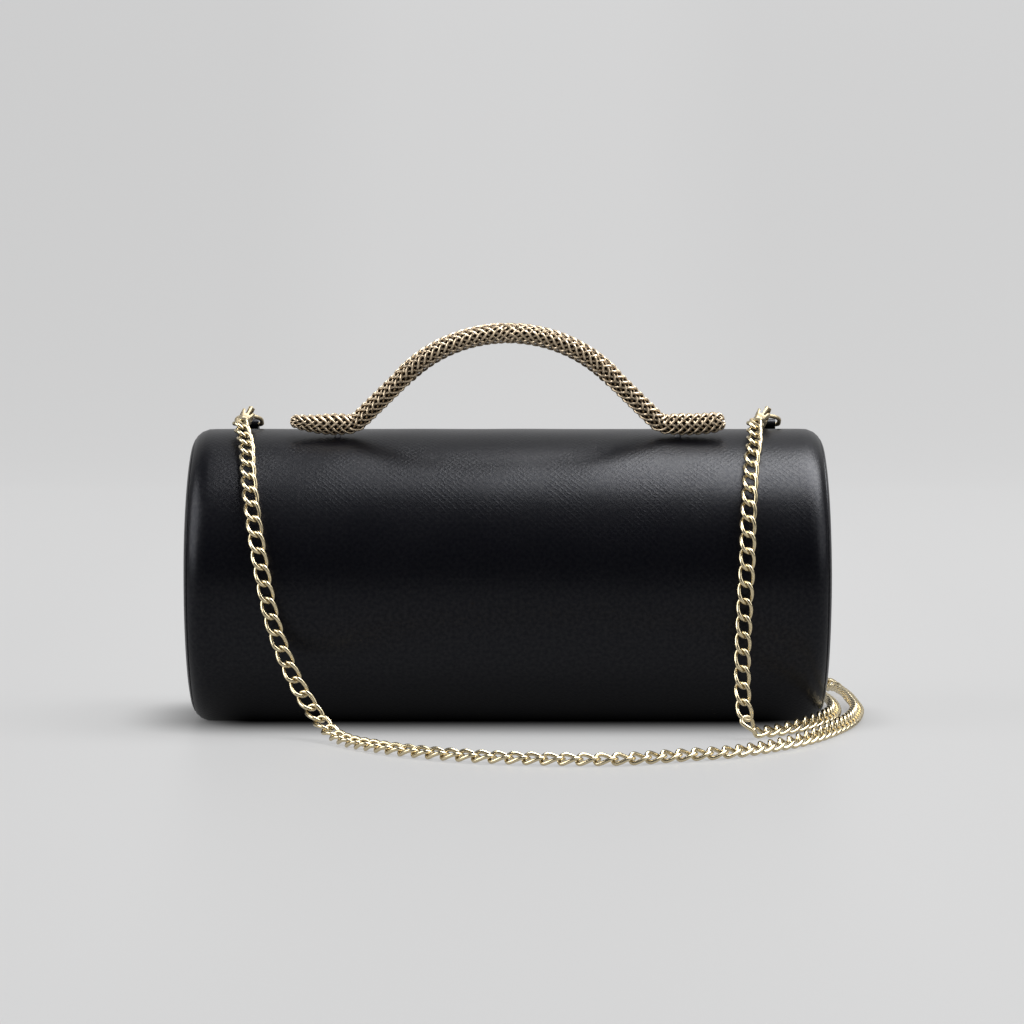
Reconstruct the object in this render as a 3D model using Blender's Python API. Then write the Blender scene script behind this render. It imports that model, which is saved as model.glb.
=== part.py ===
"""Barrel clutch bag with a woven metal handle, a back zip and a clip-on curb chain.

Metres, +Z up. The barrel lies along X and stands on its flattened base at Z = 0, centred on
the origin. The front faces -Y. An angle round the barrel is 0 at the top and grows towards
the front, and a depth is measured inwards from the leather's outer face."""

import math

import bmesh
import bpy
from mathutils import Matrix, Vector

# Barrel
BARREL_RADIUS = 0.050
BARREL_LENGTH = 0.214
BASE_SAGITTA = 0.0015
EDGE_RADIUS = 0.0065
SEAM_ANGLE = math.radians(55)
STATION_STEP = math.radians(7.5)
FILLET_STEPS = 4

# Layers, from the outside in
LEATHER = 0.0012
BOARD = 0.0012
LINING = 0.0006
GAP = 0.0003

# Mouth and zip, behind the top line
ZIP_ANGLE = math.radians(-25.5)
MOUTH_HALF_ANGLE = math.radians(18.5)
MOUTH_FROM_END = 0.0350
TAPE = 0.0006
TAPE_TUCK = 0.0050
TOOTH_REACH = 0.0011
TOOTH_SHARE = 0.56
ROW_WIDTH = 0.0022
ROW_HEIGHT = 0.0030
TOOTH_PITCH = 0.0040
STOP_LENGTH = 0.0016
STOP_CLEARANCE = 0.0013

# Slider and pull
SLIDER_LENGTH = 0.0110
SLIDER_WALL = 0.0012
SLIDER_PLATE = 0.0010
SLIDER_POST_HALF = 0.0004
SLIDER_POST_LENGTH = 0.0026
POST_CLEARANCE = 0.0004
SLOT_CLEARANCE = 0.0007
PARK_CLEARANCE = 0.0017
NOSE_SHARE = 0.72
BRIDGE_INSET = 0.0013
BRIDGE_LEG = 0.0011
BRIDGE_CORNER = 0.0008
BRIDGE_HALF_WIDTH = 0.0009
PULL_LENGTH = 0.0200
PULL_HALF_WIDTH = 0.0029
PULL_THICKNESS = 0.0010
PULL_RAIL = 0.0009
PULL_SHOULDER = 0.0030
PULL_PLAY = 0.0004
PULL_END_PLAY = 0.0013
PULL_TILT = math.radians(3)

# Handle, in the radial plane of its two feet
HANDLE_ANGLE = math.radians(15.5)
HANDLE_HALF_SPAN = 0.0733
FOOT_LENGTH = 0.0194
HANDLE_RISE = 0.0320
LEG_SLOPE = math.radians(45.5)
ARCH_FILLET = 0.0060
TIP_LIFT = 0.0014
LIFT_LENGTH = 0.0120
TUBE_RADIUS = 0.0035
FOOT_RADIUS = 0.0040
FOOT_SWELL = 0.0080
SWELL_LEAD = 0.0033
SLEEVE_WALL = 0.0008
HANDLE_SIDES = 12
SCREW_FROM_END = 0.0160
SCREW_RADIUS = 0.0011
SCREW_HEAD_RADIUS = 0.0024
SCREW_HEAD = 0.0013
WASHER_RADIUS = 0.0040
WASHER = 0.0008

# D-rings and their tabs
TAB_ANGLE = math.radians(-17.2)
TAB_FROM_END = 0.0183
TAB_WIDTH = 0.0062
TAB_LEATHER = 0.0009
TAB_LEG = 0.0038
RING_WIRE = 0.0007
RING_SIDE_PLAY = 0.0005
RING_CORNER = 0.0010
RING_ARM = 0.0036
RING_BAR_FORWARD = 0.0040
RING_DROOP = math.radians(-6.5)

# Lobster clasps
CLASP_REACH = 0.0105
CLASP_CHEEK = 0.0004
HOOK_WALL = 0.0010
HOOK_ROOM = 0.0018
HOOK_PLAY = 0.0011
HOOK_BACK = 0.0016
HOOK_TIP = 91
LEFT_CLASP_ROLL = math.radians(62)
RIGHT_CLASP_ROLL = math.radians(65)
CLASP_PITCH_ANGLE = math.radians(6.5)
LEFT_CLASP_YAW = math.radians(-3)
RIGHT_CLASP_YAW = math.radians(-14)
LEVER_THICKNESS = 0.0008
LEVER_KNUCKLE = 0.0014
PIN_RADIUS = 0.0005
EYE_WALL = 0.0009
JUMP_WIRE = 0.0006

# Chain strap: its envelope, and its route on the floor by hand-chosen points
CHAIN_RADIUS = 0.0022
CHAIN_STEP = 0.030
CHAIN_TURN = math.radians(24)
CHAIN_DENSE = 12
CHAIN_CLEARANCE = 0.0009
CHAIN_Z = CHAIN_RADIUS + 0.0001
CHAIN_END = 0.0015

# How far a cutter reaches past what it cuts
CUT_REACH = 0.010

AXIS_HEIGHT = BARREL_RADIUS - BASE_SAGITTA
STRAIGHT_HALF = BARREL_LENGTH / 2 - EDGE_RADIUS
BOARD_DEPTH = LEATHER + GAP
LINING_DEPTH = BOARD_DEPTH + BOARD + GAP
INSIDE_DEPTH = LINING_DEPTH + LINING
TAPE_DEPTH = LEATHER + GAP
ROW_DEPTH = TAPE_DEPTH + TAPE / 2
FRONT_SEAM = ZIP_ANGLE + MOUTH_HALF_ANGLE
BACK_SEAM = ZIP_ANGLE - MOUTH_HALF_ANGLE
HINGE_DEPTH = LEATHER + GAP / 2
AXIS_POINT = Vector((0, 0, AXIS_HEIGHT))
LIP_HALF_LENGTH = BARREL_LENGTH / 2 - MOUTH_FROM_END
TOOTH_GAP = SLIDER_POST_HALF + POST_CLEARANCE
ROW_EDGE = TOOTH_GAP + ROW_WIDTH
SLIDER_HALF_WIDTH = ROW_EDGE + GAP + SLIDER_WALL
ZIP_SLOT_HALF = SLIDER_HALF_WIDTH + SLOT_CLEARANCE
SLIDER_TOP = ROW_HEIGHT / 2 + GAP + SLIDER_PLATE
SLIDER_PARK = LIP_HALF_LENGTH + PARK_CLEARANCE + SLIDER_LENGTH / 2
ROW_END = SLIDER_PARK + SLIDER_LENGTH / 2 + STOP_CLEARANCE + STOP_LENGTH
BRIDGE_HALF_LENGTH = SLIDER_LENGTH / 2 - BRIDGE_INSET
BRIDGE_HEIGHT = BRIDGE_LEG + PULL_THICKNESS + 2 * PULL_PLAY
FOOT_START = HANDLE_HALF_SPAN - FOOT_LENGTH
ARCH_RADIUS = (FOOT_START - HANDLE_RISE / math.tan(LEG_SLOPE)) / math.tan(LEG_SLOPE / 2) - ARCH_FILLET
ARCH_KNEE = ARCH_RADIUS * math.sin(LEG_SLOPE)
FILLET_RUN = ARCH_FILLET * math.sin(LEG_SLOPE)
CORE_RADIUS = TUBE_RADIUS - SLEEVE_WALL - GAP
SCREW_BITE = 1.25 * CORE_RADIUS
SCREW_X = HANDLE_HALF_SPAN - SCREW_FROM_END
TAB_X = BARREL_LENGTH / 2 - TAB_FROM_END
RING_HALF_WIDTH = TAB_WIDTH / 2 + RING_WIRE + RING_SIDE_PLAY
LEVER_SLOT = LEVER_THICKNESS + 2 * GAP
CLASP_THICKNESS = LEVER_SLOT + 2 * CLASP_CHEEK
CLASP_INNER = RING_WIRE + HOOK_ROOM
CLASP_OUTER = CLASP_INNER + HOOK_WALL
PIN_HOLE = PIN_RADIUS + GAP
LEVER_PIVOT = (0.568 * CLASP_REACH, CLASP_INNER / 2)
JUMP_RADIUS = math.hypot(EYE_WALL / 2, CLASP_THICKNESS / 2) + GAP + JUMP_WIRE
EYE_HOLE = (JUMP_RADIUS + JUMP_WIRE - EYE_WALL / 2 + GAP) / 2
JUMP_CENTRE = CLASP_REACH + EYE_HOLE + EYE_WALL / 2


def arc_angle(length):
    """Angle that an arc of this length takes on the barrel's surface."""
    return length / BARREL_RADIUS


def material(name, colour, roughness, metallic):
    """A Principled material."""
    made = bpy.data.materials.new(name)
    made.use_nodes = True
    shader = made.node_tree.nodes["Principled BSDF"]
    shader.inputs["Base Color"].default_value = (*colour, 1)
    shader.inputs["Roughness"].default_value = roughness
    shader.inputs["Metallic"].default_value = metallic
    return made


def add_object(name, mesh, finish, matrix=None):
    """Link a mesh as an object, shaded smooth between its sharp edges."""
    made = bpy.data.objects.new(name, mesh)
    bpy.context.scene.collection.objects.link(made)
    if matrix is not None:
        made.matrix_world = matrix
    if finish is not None:
        mesh.materials.append(finish)
    mesh.shade_smooth()
    mesh.set_sharp_from_angle(angle=math.radians(40))
    return made


def build(name, points, faces, finish, matrix=None):
    """An object from points and faces, with its faces turned outwards."""
    mesh = bpy.data.meshes.new(name)
    mesh.from_pydata([tuple(point) for point in points], [], faces)
    shape = bmesh.new()
    shape.from_mesh(mesh)
    bmesh.ops.recalc_face_normals(shape, faces=shape.faces)
    shape.to_mesh(mesh)
    shape.free()
    return add_object(name, mesh, finish, matrix)


def cut(target, cutter, operation="DIFFERENCE"):
    """Add an exact Boolean that takes the cutter from the target, or joins it."""
    step = target.modifiers.new(cutter.name, "BOOLEAN")
    step.operation = operation
    step.solver = "EXACT"
    step.object = cutter
    cutter.hide_render = True
    cutter.display_type = "WIRE"


def surface_radius(angle, depth):
    """Distance from the barrel's axis to the surface at a depth, with the flat base."""
    down = -math.cos(angle)
    radius = BARREL_RADIUS - depth
    if down > 0.5:
        radius = min(radius, (AXIS_HEIGHT - depth) / down)
    return radius


def surface_point(x, angle, depth):
    """Point at a depth under the leather's outer face."""
    radius = surface_radius(angle, depth)
    return Vector((x, -radius * math.sin(angle), AXIS_HEIGHT + radius * math.cos(angle)))


def surface_frame(x, angle, depth, forward=0.0):
    """Frame on the barrel: its X along the barrel, Y towards the back, Z outwards."""
    along = Vector((1, 0, 0))
    back = Vector((0, math.cos(angle), math.sin(angle)))
    out = along.cross(back)
    frame = Matrix((along, back, out)).transposed().to_4x4()
    frame.translation = AXIS_POINT + along * x + out * (BARREL_RADIUS - depth) - back * forward
    return frame


def stations(start, end):
    """Angles from start to end: whole steps, the corners of the base, and both ends."""
    corner = math.acos(AXIS_HEIGHT / BARREL_RADIUS)
    wanted = [start, end]
    first = math.ceil(start / STATION_STEP)
    wanted += [n * STATION_STEP for n in range(first, int(end / STATION_STEP) + 1)]
    wanted += [math.pi - corner, math.pi + corner]
    kept = []
    for angle in sorted(a for a in wanted if start <= a <= end):
        if not kept or angle - kept[-1] > STATION_STEP * 0.2:
            kept.append(angle)
        elif angle == end:
            kept[-1] = end
    return kept


def fillet_point(turn, depth):
    """Distance along X and depth of the rounded edge's offset, for a turn from 0 to 90 degrees."""
    radius = EDGE_RADIUS - depth
    return STRAIGHT_HALF + radius * math.sin(turn), EDGE_RADIUS - radius * math.cos(turn)


def fillet_run(start, end, depth):
    """Points round the edge between two turns."""
    turns = [start + (end - start) * n / FILLET_STEPS for n in range(FILLET_STEPS + 1)]
    return [fillet_point(turn, depth) for turn in turns]


def wrap(name, outline, start, end, finish, matrix=None):
    """Closed panel round the barrel: an outline of x and depth, carried between two angles."""
    angles = stations(start, end)
    inverse = matrix.inverted() if matrix is not None else Matrix.Identity(4)
    points = [inverse @ surface_point(x, angle, depth) for angle in angles for x, depth in outline]
    count = len(outline)
    faces = [tuple(range(count)), tuple(range((len(angles) - 1) * count, len(angles) * count))]
    for row in range(len(angles) - 1):
        for n in range(count):
            m = (n + 1) % count
            faces.append((row * count + n, row * count + m, (row + 1) * count + m, (row + 1) * count + n))
    return build(name, points, faces, finish, matrix)


def plain_outline(low_x, high_x, depth, thickness):
    """Outline of a panel with square ends."""
    return [(low_x, depth), (high_x, depth), (high_x, depth + thickness), (low_x, depth + thickness)]


def seam_turn(side_gap):
    """Turn of the leather's seam on the rounded edge, moved by part of the seam's gap."""
    return SEAM_ANGLE + side_gap / EDGE_RADIUS


def main_outline():
    """The main panel's outline, round both edges up to the end panels' seams."""
    turn = seam_turn(-GAP / 2)
    outer = fillet_run(0, turn, 0)
    inner = fillet_run(turn, 0, LEATHER)
    right = outer + inner
    left = [(-x, depth) for x, depth in reversed(right)]
    return right + left


def gusset_outline(side):
    """Outline of the leather between the mouth and one end panel."""
    turn = seam_turn(-GAP / 2)
    start = LIP_HALF_LENGTH + GAP
    outline = [(start, 0)] + fillet_run(0, turn, 0) + fillet_run(turn, 0, LEATHER) + [(start, LEATHER)]
    return [(side * x, depth) for x, depth in outline]


def dish(name, side, depth, thickness, start_turn, finish):
    """End piece: a disc with its rounded edge, from a turn of the edge inwards."""
    angles = stations(0, math.tau)[:-1]
    count = len(angles)
    outer = fillet_run(start_turn, math.pi / 2, depth)
    inner = fillet_run(math.pi / 2, start_turn, depth + thickness)
    loops = outer + inner
    points = [surface_point(side * x, angle, low) for x, low in loops for angle in angles]
    faces = [tuple(range((len(outer) - 1) * count, len(outer) * count))]
    faces.append(tuple(range(len(outer) * count, (len(outer) + 1) * count)))
    pairs = [(n, n + 1) for n in range(len(loops) - 1) if n != len(outer) - 1]
    pairs.append((len(loops) - 1, 0))
    for first, second in pairs:
        for n in range(count):
            m = (n + 1) % count
            faces.append((first * count + n, first * count + m, second * count + m, second * count + n))
    return build(name, points, faces, finish)


def prism(name, outline, low, high, finish, matrix=None):
    """Solid of a flat outline between two heights of its own Z."""
    count = len(outline)
    points = [(x, y, low) for x, y in outline] + [(x, y, high) for x, y in outline]
    faces = [tuple(range(count)), tuple(range(count, 2 * count))]
    for n in range(count):
        m = (n + 1) % count
        faces.append((n, m, count + m, count + n))
    return build(name, points, faces, finish, matrix)


def block(name, low, high, finish=None, matrix=None):
    """Box between two corners."""
    outline = [(low[0], low[1]), (high[0], low[1]), (high[0], high[1]), (low[0], high[1])]
    return prism(name, outline, low[2], high[2], finish, matrix)


def arc(centre, radius, start, end, steps):
    """Points on an arc, in degrees."""
    angles = [math.radians(start + (end - start) * n / steps) for n in range(steps + 1)]
    return [(centre[0] + radius * math.cos(a), centre[1] + radius * math.sin(a)) for a in angles]


def round_bar(name, radius, low, high, finish=None, matrix=None, sides=12):
    """Straight round bar along its own Z."""
    return prism(name, arc((0, 0), radius, 0, 360, sides)[:-1], low, high, finish, matrix)


def sweep(path, radii, sides, plane_normal, closed=False):
    """Rings of points and faces of a round tube along a flat path."""
    count = len(path)
    points = []
    for n, centre in enumerate(path):
        before = path[n - 1] if closed or n else path[n]
        after = path[(n + 1) % count] if closed or n < count - 1 else path[n]
        tangent = (after - before).normalized()
        side = plane_normal.cross(tangent)
        for k in range(sides):
            turn = math.tau * k / sides
            points.append(centre + radii[n] * (math.cos(turn) * side + math.sin(turn) * plane_normal))
    faces = []
    for n in range(count if closed else count - 1):
        m = (n + 1) % count
        for k in range(sides):
            j = (k + 1) % sides
            faces.append((n * sides + k, n * sides + j, m * sides + j, m * sides + k))
    if not closed:
        faces.append(tuple(range(sides)))
        faces.append(tuple(range((count - 1) * sides, count * sides)))
    return points, faces


def make_materials():
    """The finishes by slot."""
    return {
        "leather": material("leather", (0.012, 0.012, 0.015), 0.42, 0.0),
        "board": material("board", (0.32, 0.26, 0.19), 0.85, 0.0),
        "lining": material("lining", (0.10, 0.09, 0.10), 0.75, 0.0),
        "tape": material("tape", (0.010, 0.010, 0.012), 0.80, 0.0),
        "gold": material("gold", (0.86, 0.74, 0.50), 0.22, 1.0),
        "chain": material("chain", (0.88, 0.77, 0.54), 0.20, 1.0),
        "mesh": material("mesh", (0.84, 0.74, 0.55), 0.30, 1.0),
        "steel": material("steel", (0.55, 0.55, 0.57), 0.35, 1.0),
    }


def make_shell(finish):
    """Leather, board and lining: the wrap round the barrel and both ends."""
    front = FRONT_SEAM
    back = BACK_SEAM + math.tau
    edge_gap = arc_angle(2 * GAP)
    main = wrap("main_panel", main_outline(), front, back, finish["leather"])
    half = STRAIGHT_HALF - GAP
    board_outline = plain_outline(-half, half, BOARD_DEPTH, BOARD)
    board = wrap("shell_board", board_outline, front + edge_gap, back - edge_gap, finish["board"])
    lining_outline = plain_outline(-half, half, LINING_DEPTH, LINING)
    lining = wrap("lining", lining_outline, front + edge_gap, back - edge_gap, finish["lining"])
    for side, word in ((-1, "left"), (1, "right")):
        dish(word + "_end_panel", side, 0, LEATHER, seam_turn(GAP / 2), finish["leather"])
        dish(word + "_end_board", side, BOARD_DEPTH, BOARD, 0, finish["board"])
        dish(word + "_end_lining", side, LINING_DEPTH, LINING, 0, finish["lining"])
    return main, board, lining


def zip_frame(x):
    """Frame at the zip's mid-plane: X along the zip, Y towards the back, Z outwards."""
    return surface_frame(x, ZIP_ANGLE, ROW_DEPTH)


def comb(low_x, high_x, phase):
    """Outline of one tooth row: a bar with its teeth towards the zip's centre line."""
    inner = TOOTH_GAP + TOOTH_REACH
    outer = ROW_EDGE
    points = [(high_x, outer), (low_x, outer), (low_x, inner)]
    half = TOOTH_PITCH * TOOTH_SHARE / 2
    centre = low_x + TOOTH_PITCH * (0.5 + phase)
    while centre + half < high_x - GAP:
        points += [(centre - half, inner), (centre - half, TOOTH_GAP)]
        points += [(centre + half, TOOTH_GAP), (centre + half, inner)]
        centre += TOOTH_PITCH
    return points + [(high_x, inner)]


def make_lip(word, side, seam, finish):
    """One facing of the mouth with its zip tape and tooth row, turning on its seam."""
    hinge = surface_frame(0, seam, HINGE_DEPTH)
    near = seam - side * arc_angle(GAP)
    slot = ZIP_ANGLE + side * arc_angle(ZIP_SLOT_HALF)
    tape_edge = ZIP_ANGLE + side * arc_angle(ROW_EDGE + GAP)
    tape_back = seam - side * arc_angle(TAPE_TUCK)
    leather_outline = plain_outline(-LIP_HALF_LENGTH, LIP_HALF_LENGTH, 0, LEATHER)
    tape_outline = plain_outline(-LIP_HALF_LENGTH, LIP_HALF_LENGTH, TAPE_DEPTH, TAPE)
    wrap(word + "_lip", leather_outline, min(near, slot), max(near, slot), finish["leather"], hinge)
    low, high = min(tape_edge, tape_back), max(tape_edge, tape_back)
    wrap(word + "_zip_tape", tape_outline, low, high, finish["tape"], hinge)
    row = comb(-LIP_HALF_LENGTH, LIP_HALF_LENGTH, 0 if side > 0 else 0.25)
    row = [(x, -side * y) for x, y in row]
    made = prism(word + "_tooth_row", row, -ROW_HEIGHT / 2, ROW_HEIGHT / 2, finish["gold"])
    made.data.transform(hinge.inverted() @ zip_frame(0))
    made.matrix_world = hinge


def make_zip_end(side, word, finish):
    """The fixed leather, board, tape and tooth rows past one end of the mouth."""
    start = LIP_HALF_LENGTH + GAP
    edge = arc_angle(GAP)
    low, high = BACK_SEAM + edge, FRONT_SEAM - edge
    gusset = wrap(word + "_gusset", gusset_outline(side), low, high, finish["leather"])
    deep = CUT_REACH
    low_x, high_x = sorted((side * (start - deep), side * (ROW_END + 2 * GAP)))
    frame = zip_frame(0)
    notch = block(word + "_notch_cutter", (low_x, -ZIP_SLOT_HALF, -deep), (high_x, ZIP_SLOT_HALF, deep),
                  None, frame)
    cut(gusset, notch)
    tape_half = arc_angle(ROW_EDGE + GAP + TAPE_TUCK)
    tape_x = sorted((side * start, side * (ROW_END + TAPE_TUCK)))
    tape = wrap(word + "_end_tape", plain_outline(*tape_x, TAPE_DEPTH, TAPE),
                ZIP_ANGLE - tape_half, ZIP_ANGLE + tape_half, finish["tape"])
    tape_slot = ROW_EDGE + GAP
    low_x, high_x = sorted((side * (start - deep), side * (ROW_END + GAP)))
    slot = block(word + "_tape_cutter", (low_x, -tape_slot, -deep), (high_x, tape_slot, deep), None, frame)
    cut(tape, slot)
    inner, outer = TOOTH_GAP, ROW_EDGE
    stop = ROW_END - STOP_LENGTH
    ring = [(start, outer), (start, inner), (stop, inner), (stop, -inner), (start, -inner)]
    ring += [(start, -outer), (ROW_END, -outer), (ROW_END, outer)]
    ring = [(side * x, y) for x, y in ring]
    prism(word + "_zip_end", ring, -ROW_HEIGHT / 2, ROW_HEIGHT / 2, finish["gold"], frame)
    board_x = sorted((side * (ROW_END + 3 * GAP), side * (STRAIGHT_HALF - GAP)))
    depth = TAPE_DEPTH + TAPE + GAP
    wrap(word + "_gusset_board", plain_outline(*board_x, depth, INSIDE_DEPTH - depth), low, high,
         finish["board"])


def make_slider(finish):
    """The slider: two plates joined by a post, side walls and a bridge for the pull."""
    frame = zip_frame(SLIDER_PARK)
    half = SLIDER_LENGTH / 2
    channel = ROW_HEIGHT / 2 + GAP
    top = SLIDER_TOP
    tape_half = TAPE / 2 + GAP
    nose = [(-half, -SLIDER_HALF_WIDTH * NOSE_SHARE), (-half * 0.4, -SLIDER_HALF_WIDTH)]
    nose += [(half, -SLIDER_HALF_WIDTH)]
    nose += [(x, -y) for x, y in reversed(nose)]
    body = prism("zip_slider", nose, -top, top, finish["gold"], frame)
    inner = ROW_EDGE + GAP
    reach = CUT_REACH
    tunnel = block("slider_tunnel", (-reach, -inner, -channel), (reach, inner, channel), None, frame)
    slit = block("slider_slit", (-reach, -reach, -tape_half), (reach, reach, tape_half), None, frame)
    post_x = BRIDGE_HALF_LENGTH - SLIDER_POST_LENGTH
    post = block("slider_post", (post_x, -SLIDER_POST_HALF, -top + GAP),
                 (BRIDGE_HALF_LENGTH, SLIDER_POST_HALF, top - GAP), None, frame)
    cut(body, tunnel)
    cut(body, slit)
    cut(body, post, "UNION")
    end = BRIDGE_HALF_LENGTH
    foot = top - GAP
    crown = top + BRIDGE_HEIGHT
    room = end - BRIDGE_LEG
    bevel = BRIDGE_CORNER
    outline = [(-end, foot), (-end, crown - bevel), (-end + bevel, crown), (end - bevel, crown)]
    outline += [(end, crown - bevel), (end, foot), (room, foot), (room, crown - BRIDGE_LEG)]
    outline += [(-room, crown - BRIDGE_LEG), (-room, foot)]
    upright = frame @ Matrix.Rotation(math.pi / 2, 4, "X")
    bridge = prism("slider_bridge", outline, -BRIDGE_HALF_WIDTH, BRIDGE_HALF_WIDTH, None, upright)
    cut(body, bridge, "UNION")


def pull_frame():
    """Frame of the pull's cross bar: X along the zip, Y towards the back, Z outwards."""
    height = SLIDER_TOP + (BRIDGE_HEIGHT - BRIDGE_LEG) / 2
    frame = zip_frame(SLIDER_PARK)
    frame.translation = frame @ Vector((0, 0, height))
    return frame


def make_pull(finish):
    """The pull: a tab with a window that goes round the slider's bridge."""
    half = PULL_HALF_WIDTH
    bar = PULL_THICKNESS / 2
    window = BRIDGE_HALF_LENGTH + PULL_END_PLAY
    window_half = BRIDGE_HALF_WIDTH + PULL_PLAY
    rail = window_half + PULL_RAIL
    shoulder = window + PULL_SHOULDER
    outline = [(bar, -rail), (bar, rail), (-window, rail), (-shoulder, half)]
    outline += arc((-PULL_LENGTH + half, 0), half, 90, 270, 8)
    outline += [(-shoulder, -half), (-window, -rail)]
    pull = prism("zip_pull", outline, -bar, bar, finish["gold"], pull_frame())
    pull.data.transform(Matrix.Rotation(-PULL_TILT, 4, "Y"))
    deep = CUT_REACH
    hole = block("pull_window", (-window, -window_half, -deep), (-bar, window_half, deep), None,
                 pull_frame() @ Matrix.Rotation(-PULL_TILT, 4, "Y"))
    cut(pull, hole)


def handle_height(x):
    """Height of the handle's centre line over its feet, at a distance from the middle."""
    x = abs(x)
    before_foot = FOOT_START - x
    if before_foot <= 0:
        lifted = max(x - HANDLE_HALF_SPAN + LIFT_LENGTH, 0)
        return TIP_LIFT * (lifted / LIFT_LENGTH) ** 2
    if before_foot < FILLET_RUN:
        return ARCH_FILLET - math.sqrt(ARCH_FILLET ** 2 - before_foot ** 2)
    crown = math.sqrt(ARCH_RADIUS ** 2 - min(x, ARCH_KNEE) ** 2) - ARCH_RADIUS + HANDLE_RISE
    return crown - max(x - ARCH_KNEE, 0) * math.tan(LEG_SLOPE)


def handle_line():
    """Points of the handle's centre line from end to end, in its plane."""
    half = [ARCH_RADIUS * math.sin(LEG_SLOPE * n / 7) for n in range(8)]
    half.append((ARCH_KNEE + FOOT_START - FILLET_RUN) / 2)
    half += [FOOT_START - ARCH_FILLET * math.sin(LEG_SLOPE * (1 - n / 4)) for n in range(5)]
    half += [FOOT_START + (FOOT_LENGTH - FOOT_RADIUS) * n / 4 for n in range(1, 5)]
    return [-x for x in reversed(half[1:])] + half


def handle_frame():
    """Frame of the handle's plane: X along the bag, Y to the back, Z outwards, at foot height."""
    return surface_frame(0, HANDLE_ANGLE, -(FOOT_RADIUS + GAP))


def make_handle(finish, panels):
    """Woven sleeve, its core, and the screws that hold both feet from inside the barrel."""
    frame = handle_frame()
    line = [Vector((x, 0, handle_height(x))) for x in handle_line()]
    normal = Vector((0, 1, 0))
    swell_start = FOOT_START - SWELL_LEAD
    radii = []
    for point in line:
        share = min(max((abs(point.x) - swell_start) / FOOT_SWELL, 0), 1)
        radii.append(TUBE_RADIUS + (FOOT_RADIUS - TUBE_RADIUS) * share)
    cap_turns = [math.radians(a) for a in (30, 60, 80)]
    last = line[-1].x
    outer_line = list(line)
    outer_radii = list(radii)
    for turn in cap_turns:
        x = last + FOOT_RADIUS * math.sin(turn)
        height = handle_height(x)
        outer_line = [Vector((-x, 0, height))] + outer_line + [Vector((x, 0, height))]
        outer_radii = [FOOT_RADIUS * math.cos(turn)] + outer_radii + [FOOT_RADIUS * math.cos(turn)]
    points, faces = sweep(outer_line, outer_radii, HANDLE_SIDES, normal)
    bore = [CORE_RADIUS + GAP] * len(line)
    inner_line = [Vector(p) for p in line]
    inner_line[0].x -= GAP
    inner_line[-1].x += GAP
    sleeve = build("handle_sleeve", points, faces, finish["mesh"], frame)
    points, faces = sweep(inner_line, bore, HANDLE_SIDES, normal)
    cut(sleeve, build("handle_bore", points, faces, None, frame))
    points, faces = sweep(line, [CORE_RADIUS] * len(line), HANDLE_SIDES, normal)
    core = build("handle_core", points, faces, finish["steel"], frame)
    for side, word in ((-1, "left"), (1, "right")):
        radial = surface_frame(side * SCREW_X, HANDLE_ANGLE, 0)
        inside = -INSIDE_DEPTH - 2 * GAP
        washer_low = inside - WASHER
        head_top = washer_low - GAP
        tip = GAP + FOOT_RADIUS - CORE_RADIUS + SCREW_BITE
        hole = round_bar(word + "_screw_hole", SCREW_RADIUS + GAP, head_top - CUT_REACH, tip + GAP, None,
                         radial)
        washer = round_bar(word + "_handle_washer", WASHER_RADIUS, washer_low, inside, finish["steel"],
                           radial, 16)
        for target in panels + [sleeve, core, washer]:
            cut(target, hole)
        profile = [(0, head_top - SCREW_HEAD), (SCREW_HEAD_RADIUS * 0.8, head_top - SCREW_HEAD)]
        profile += [(SCREW_HEAD_RADIUS, head_top - SCREW_HEAD * 0.6), (SCREW_HEAD_RADIUS, head_top)]
        profile += [(SCREW_RADIUS, head_top), (SCREW_RADIUS, tip), (0, tip)]
        lathe(word + "_handle_screw", profile, 12, finish["steel"], radial)


def lathe(name, profile, sides, finish, matrix):
    """Solid turned round its own Z from a profile of radius and height that starts and ends at 0."""
    points = [(0, 0, profile[0][1]), (0, 0, profile[-1][1])]
    rings = profile[1:-1]
    for radius, height in rings:
        for k in range(sides):
            turn = math.tau * k / sides
            points.append((radius * math.cos(turn), radius * math.sin(turn), height))
    faces = []
    for k in range(sides):
        j = (k + 1) % sides
        faces.append((0, 2 + k, 2 + j))
        faces.append((1, 2 + (len(rings) - 1) * sides + k, 2 + (len(rings) - 1) * sides + j))
        for n in range(len(rings) - 1):
            a, b = 2 + n * sides, 2 + (n + 1) * sides
            faces.append((a + k, a + j, b + j, b + k))
    return build(name, points, faces, finish, matrix)


def strip_outline(path, half):
    """Outline of a strip of even thickness along a flat path."""
    left, right = [], []
    for n, (x, y) in enumerate(path):
        before = path[max(n - 1, 0)]
        after = path[min(n + 1, len(path) - 1)]
        dx, dy = after[0] - before[0], after[1] - before[1]
        size = math.hypot(dx, dy)
        left.append((x - dy / size * half, y + dx / size * half))
        right.append((x + dy / size * half, y - dx / size * half))
    return left + list(reversed(right))


def ring_bar_height():
    """Height of the D-ring's bar over the leather under its tab."""
    return GAP + TAB_LEATHER + GAP + RING_WIRE


def ring_frame(side):
    """Frame at the middle of a D-ring's bar: Y towards the bow, Z out of the ring's plane."""
    frame = surface_frame(side * TAB_X, TAB_ANGLE, -ring_bar_height(), RING_BAR_FORWARD)
    return frame @ Matrix.Rotation(math.pi, 4, "Z") @ Matrix.Rotation(-RING_DROOP, 4, "X")


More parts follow.
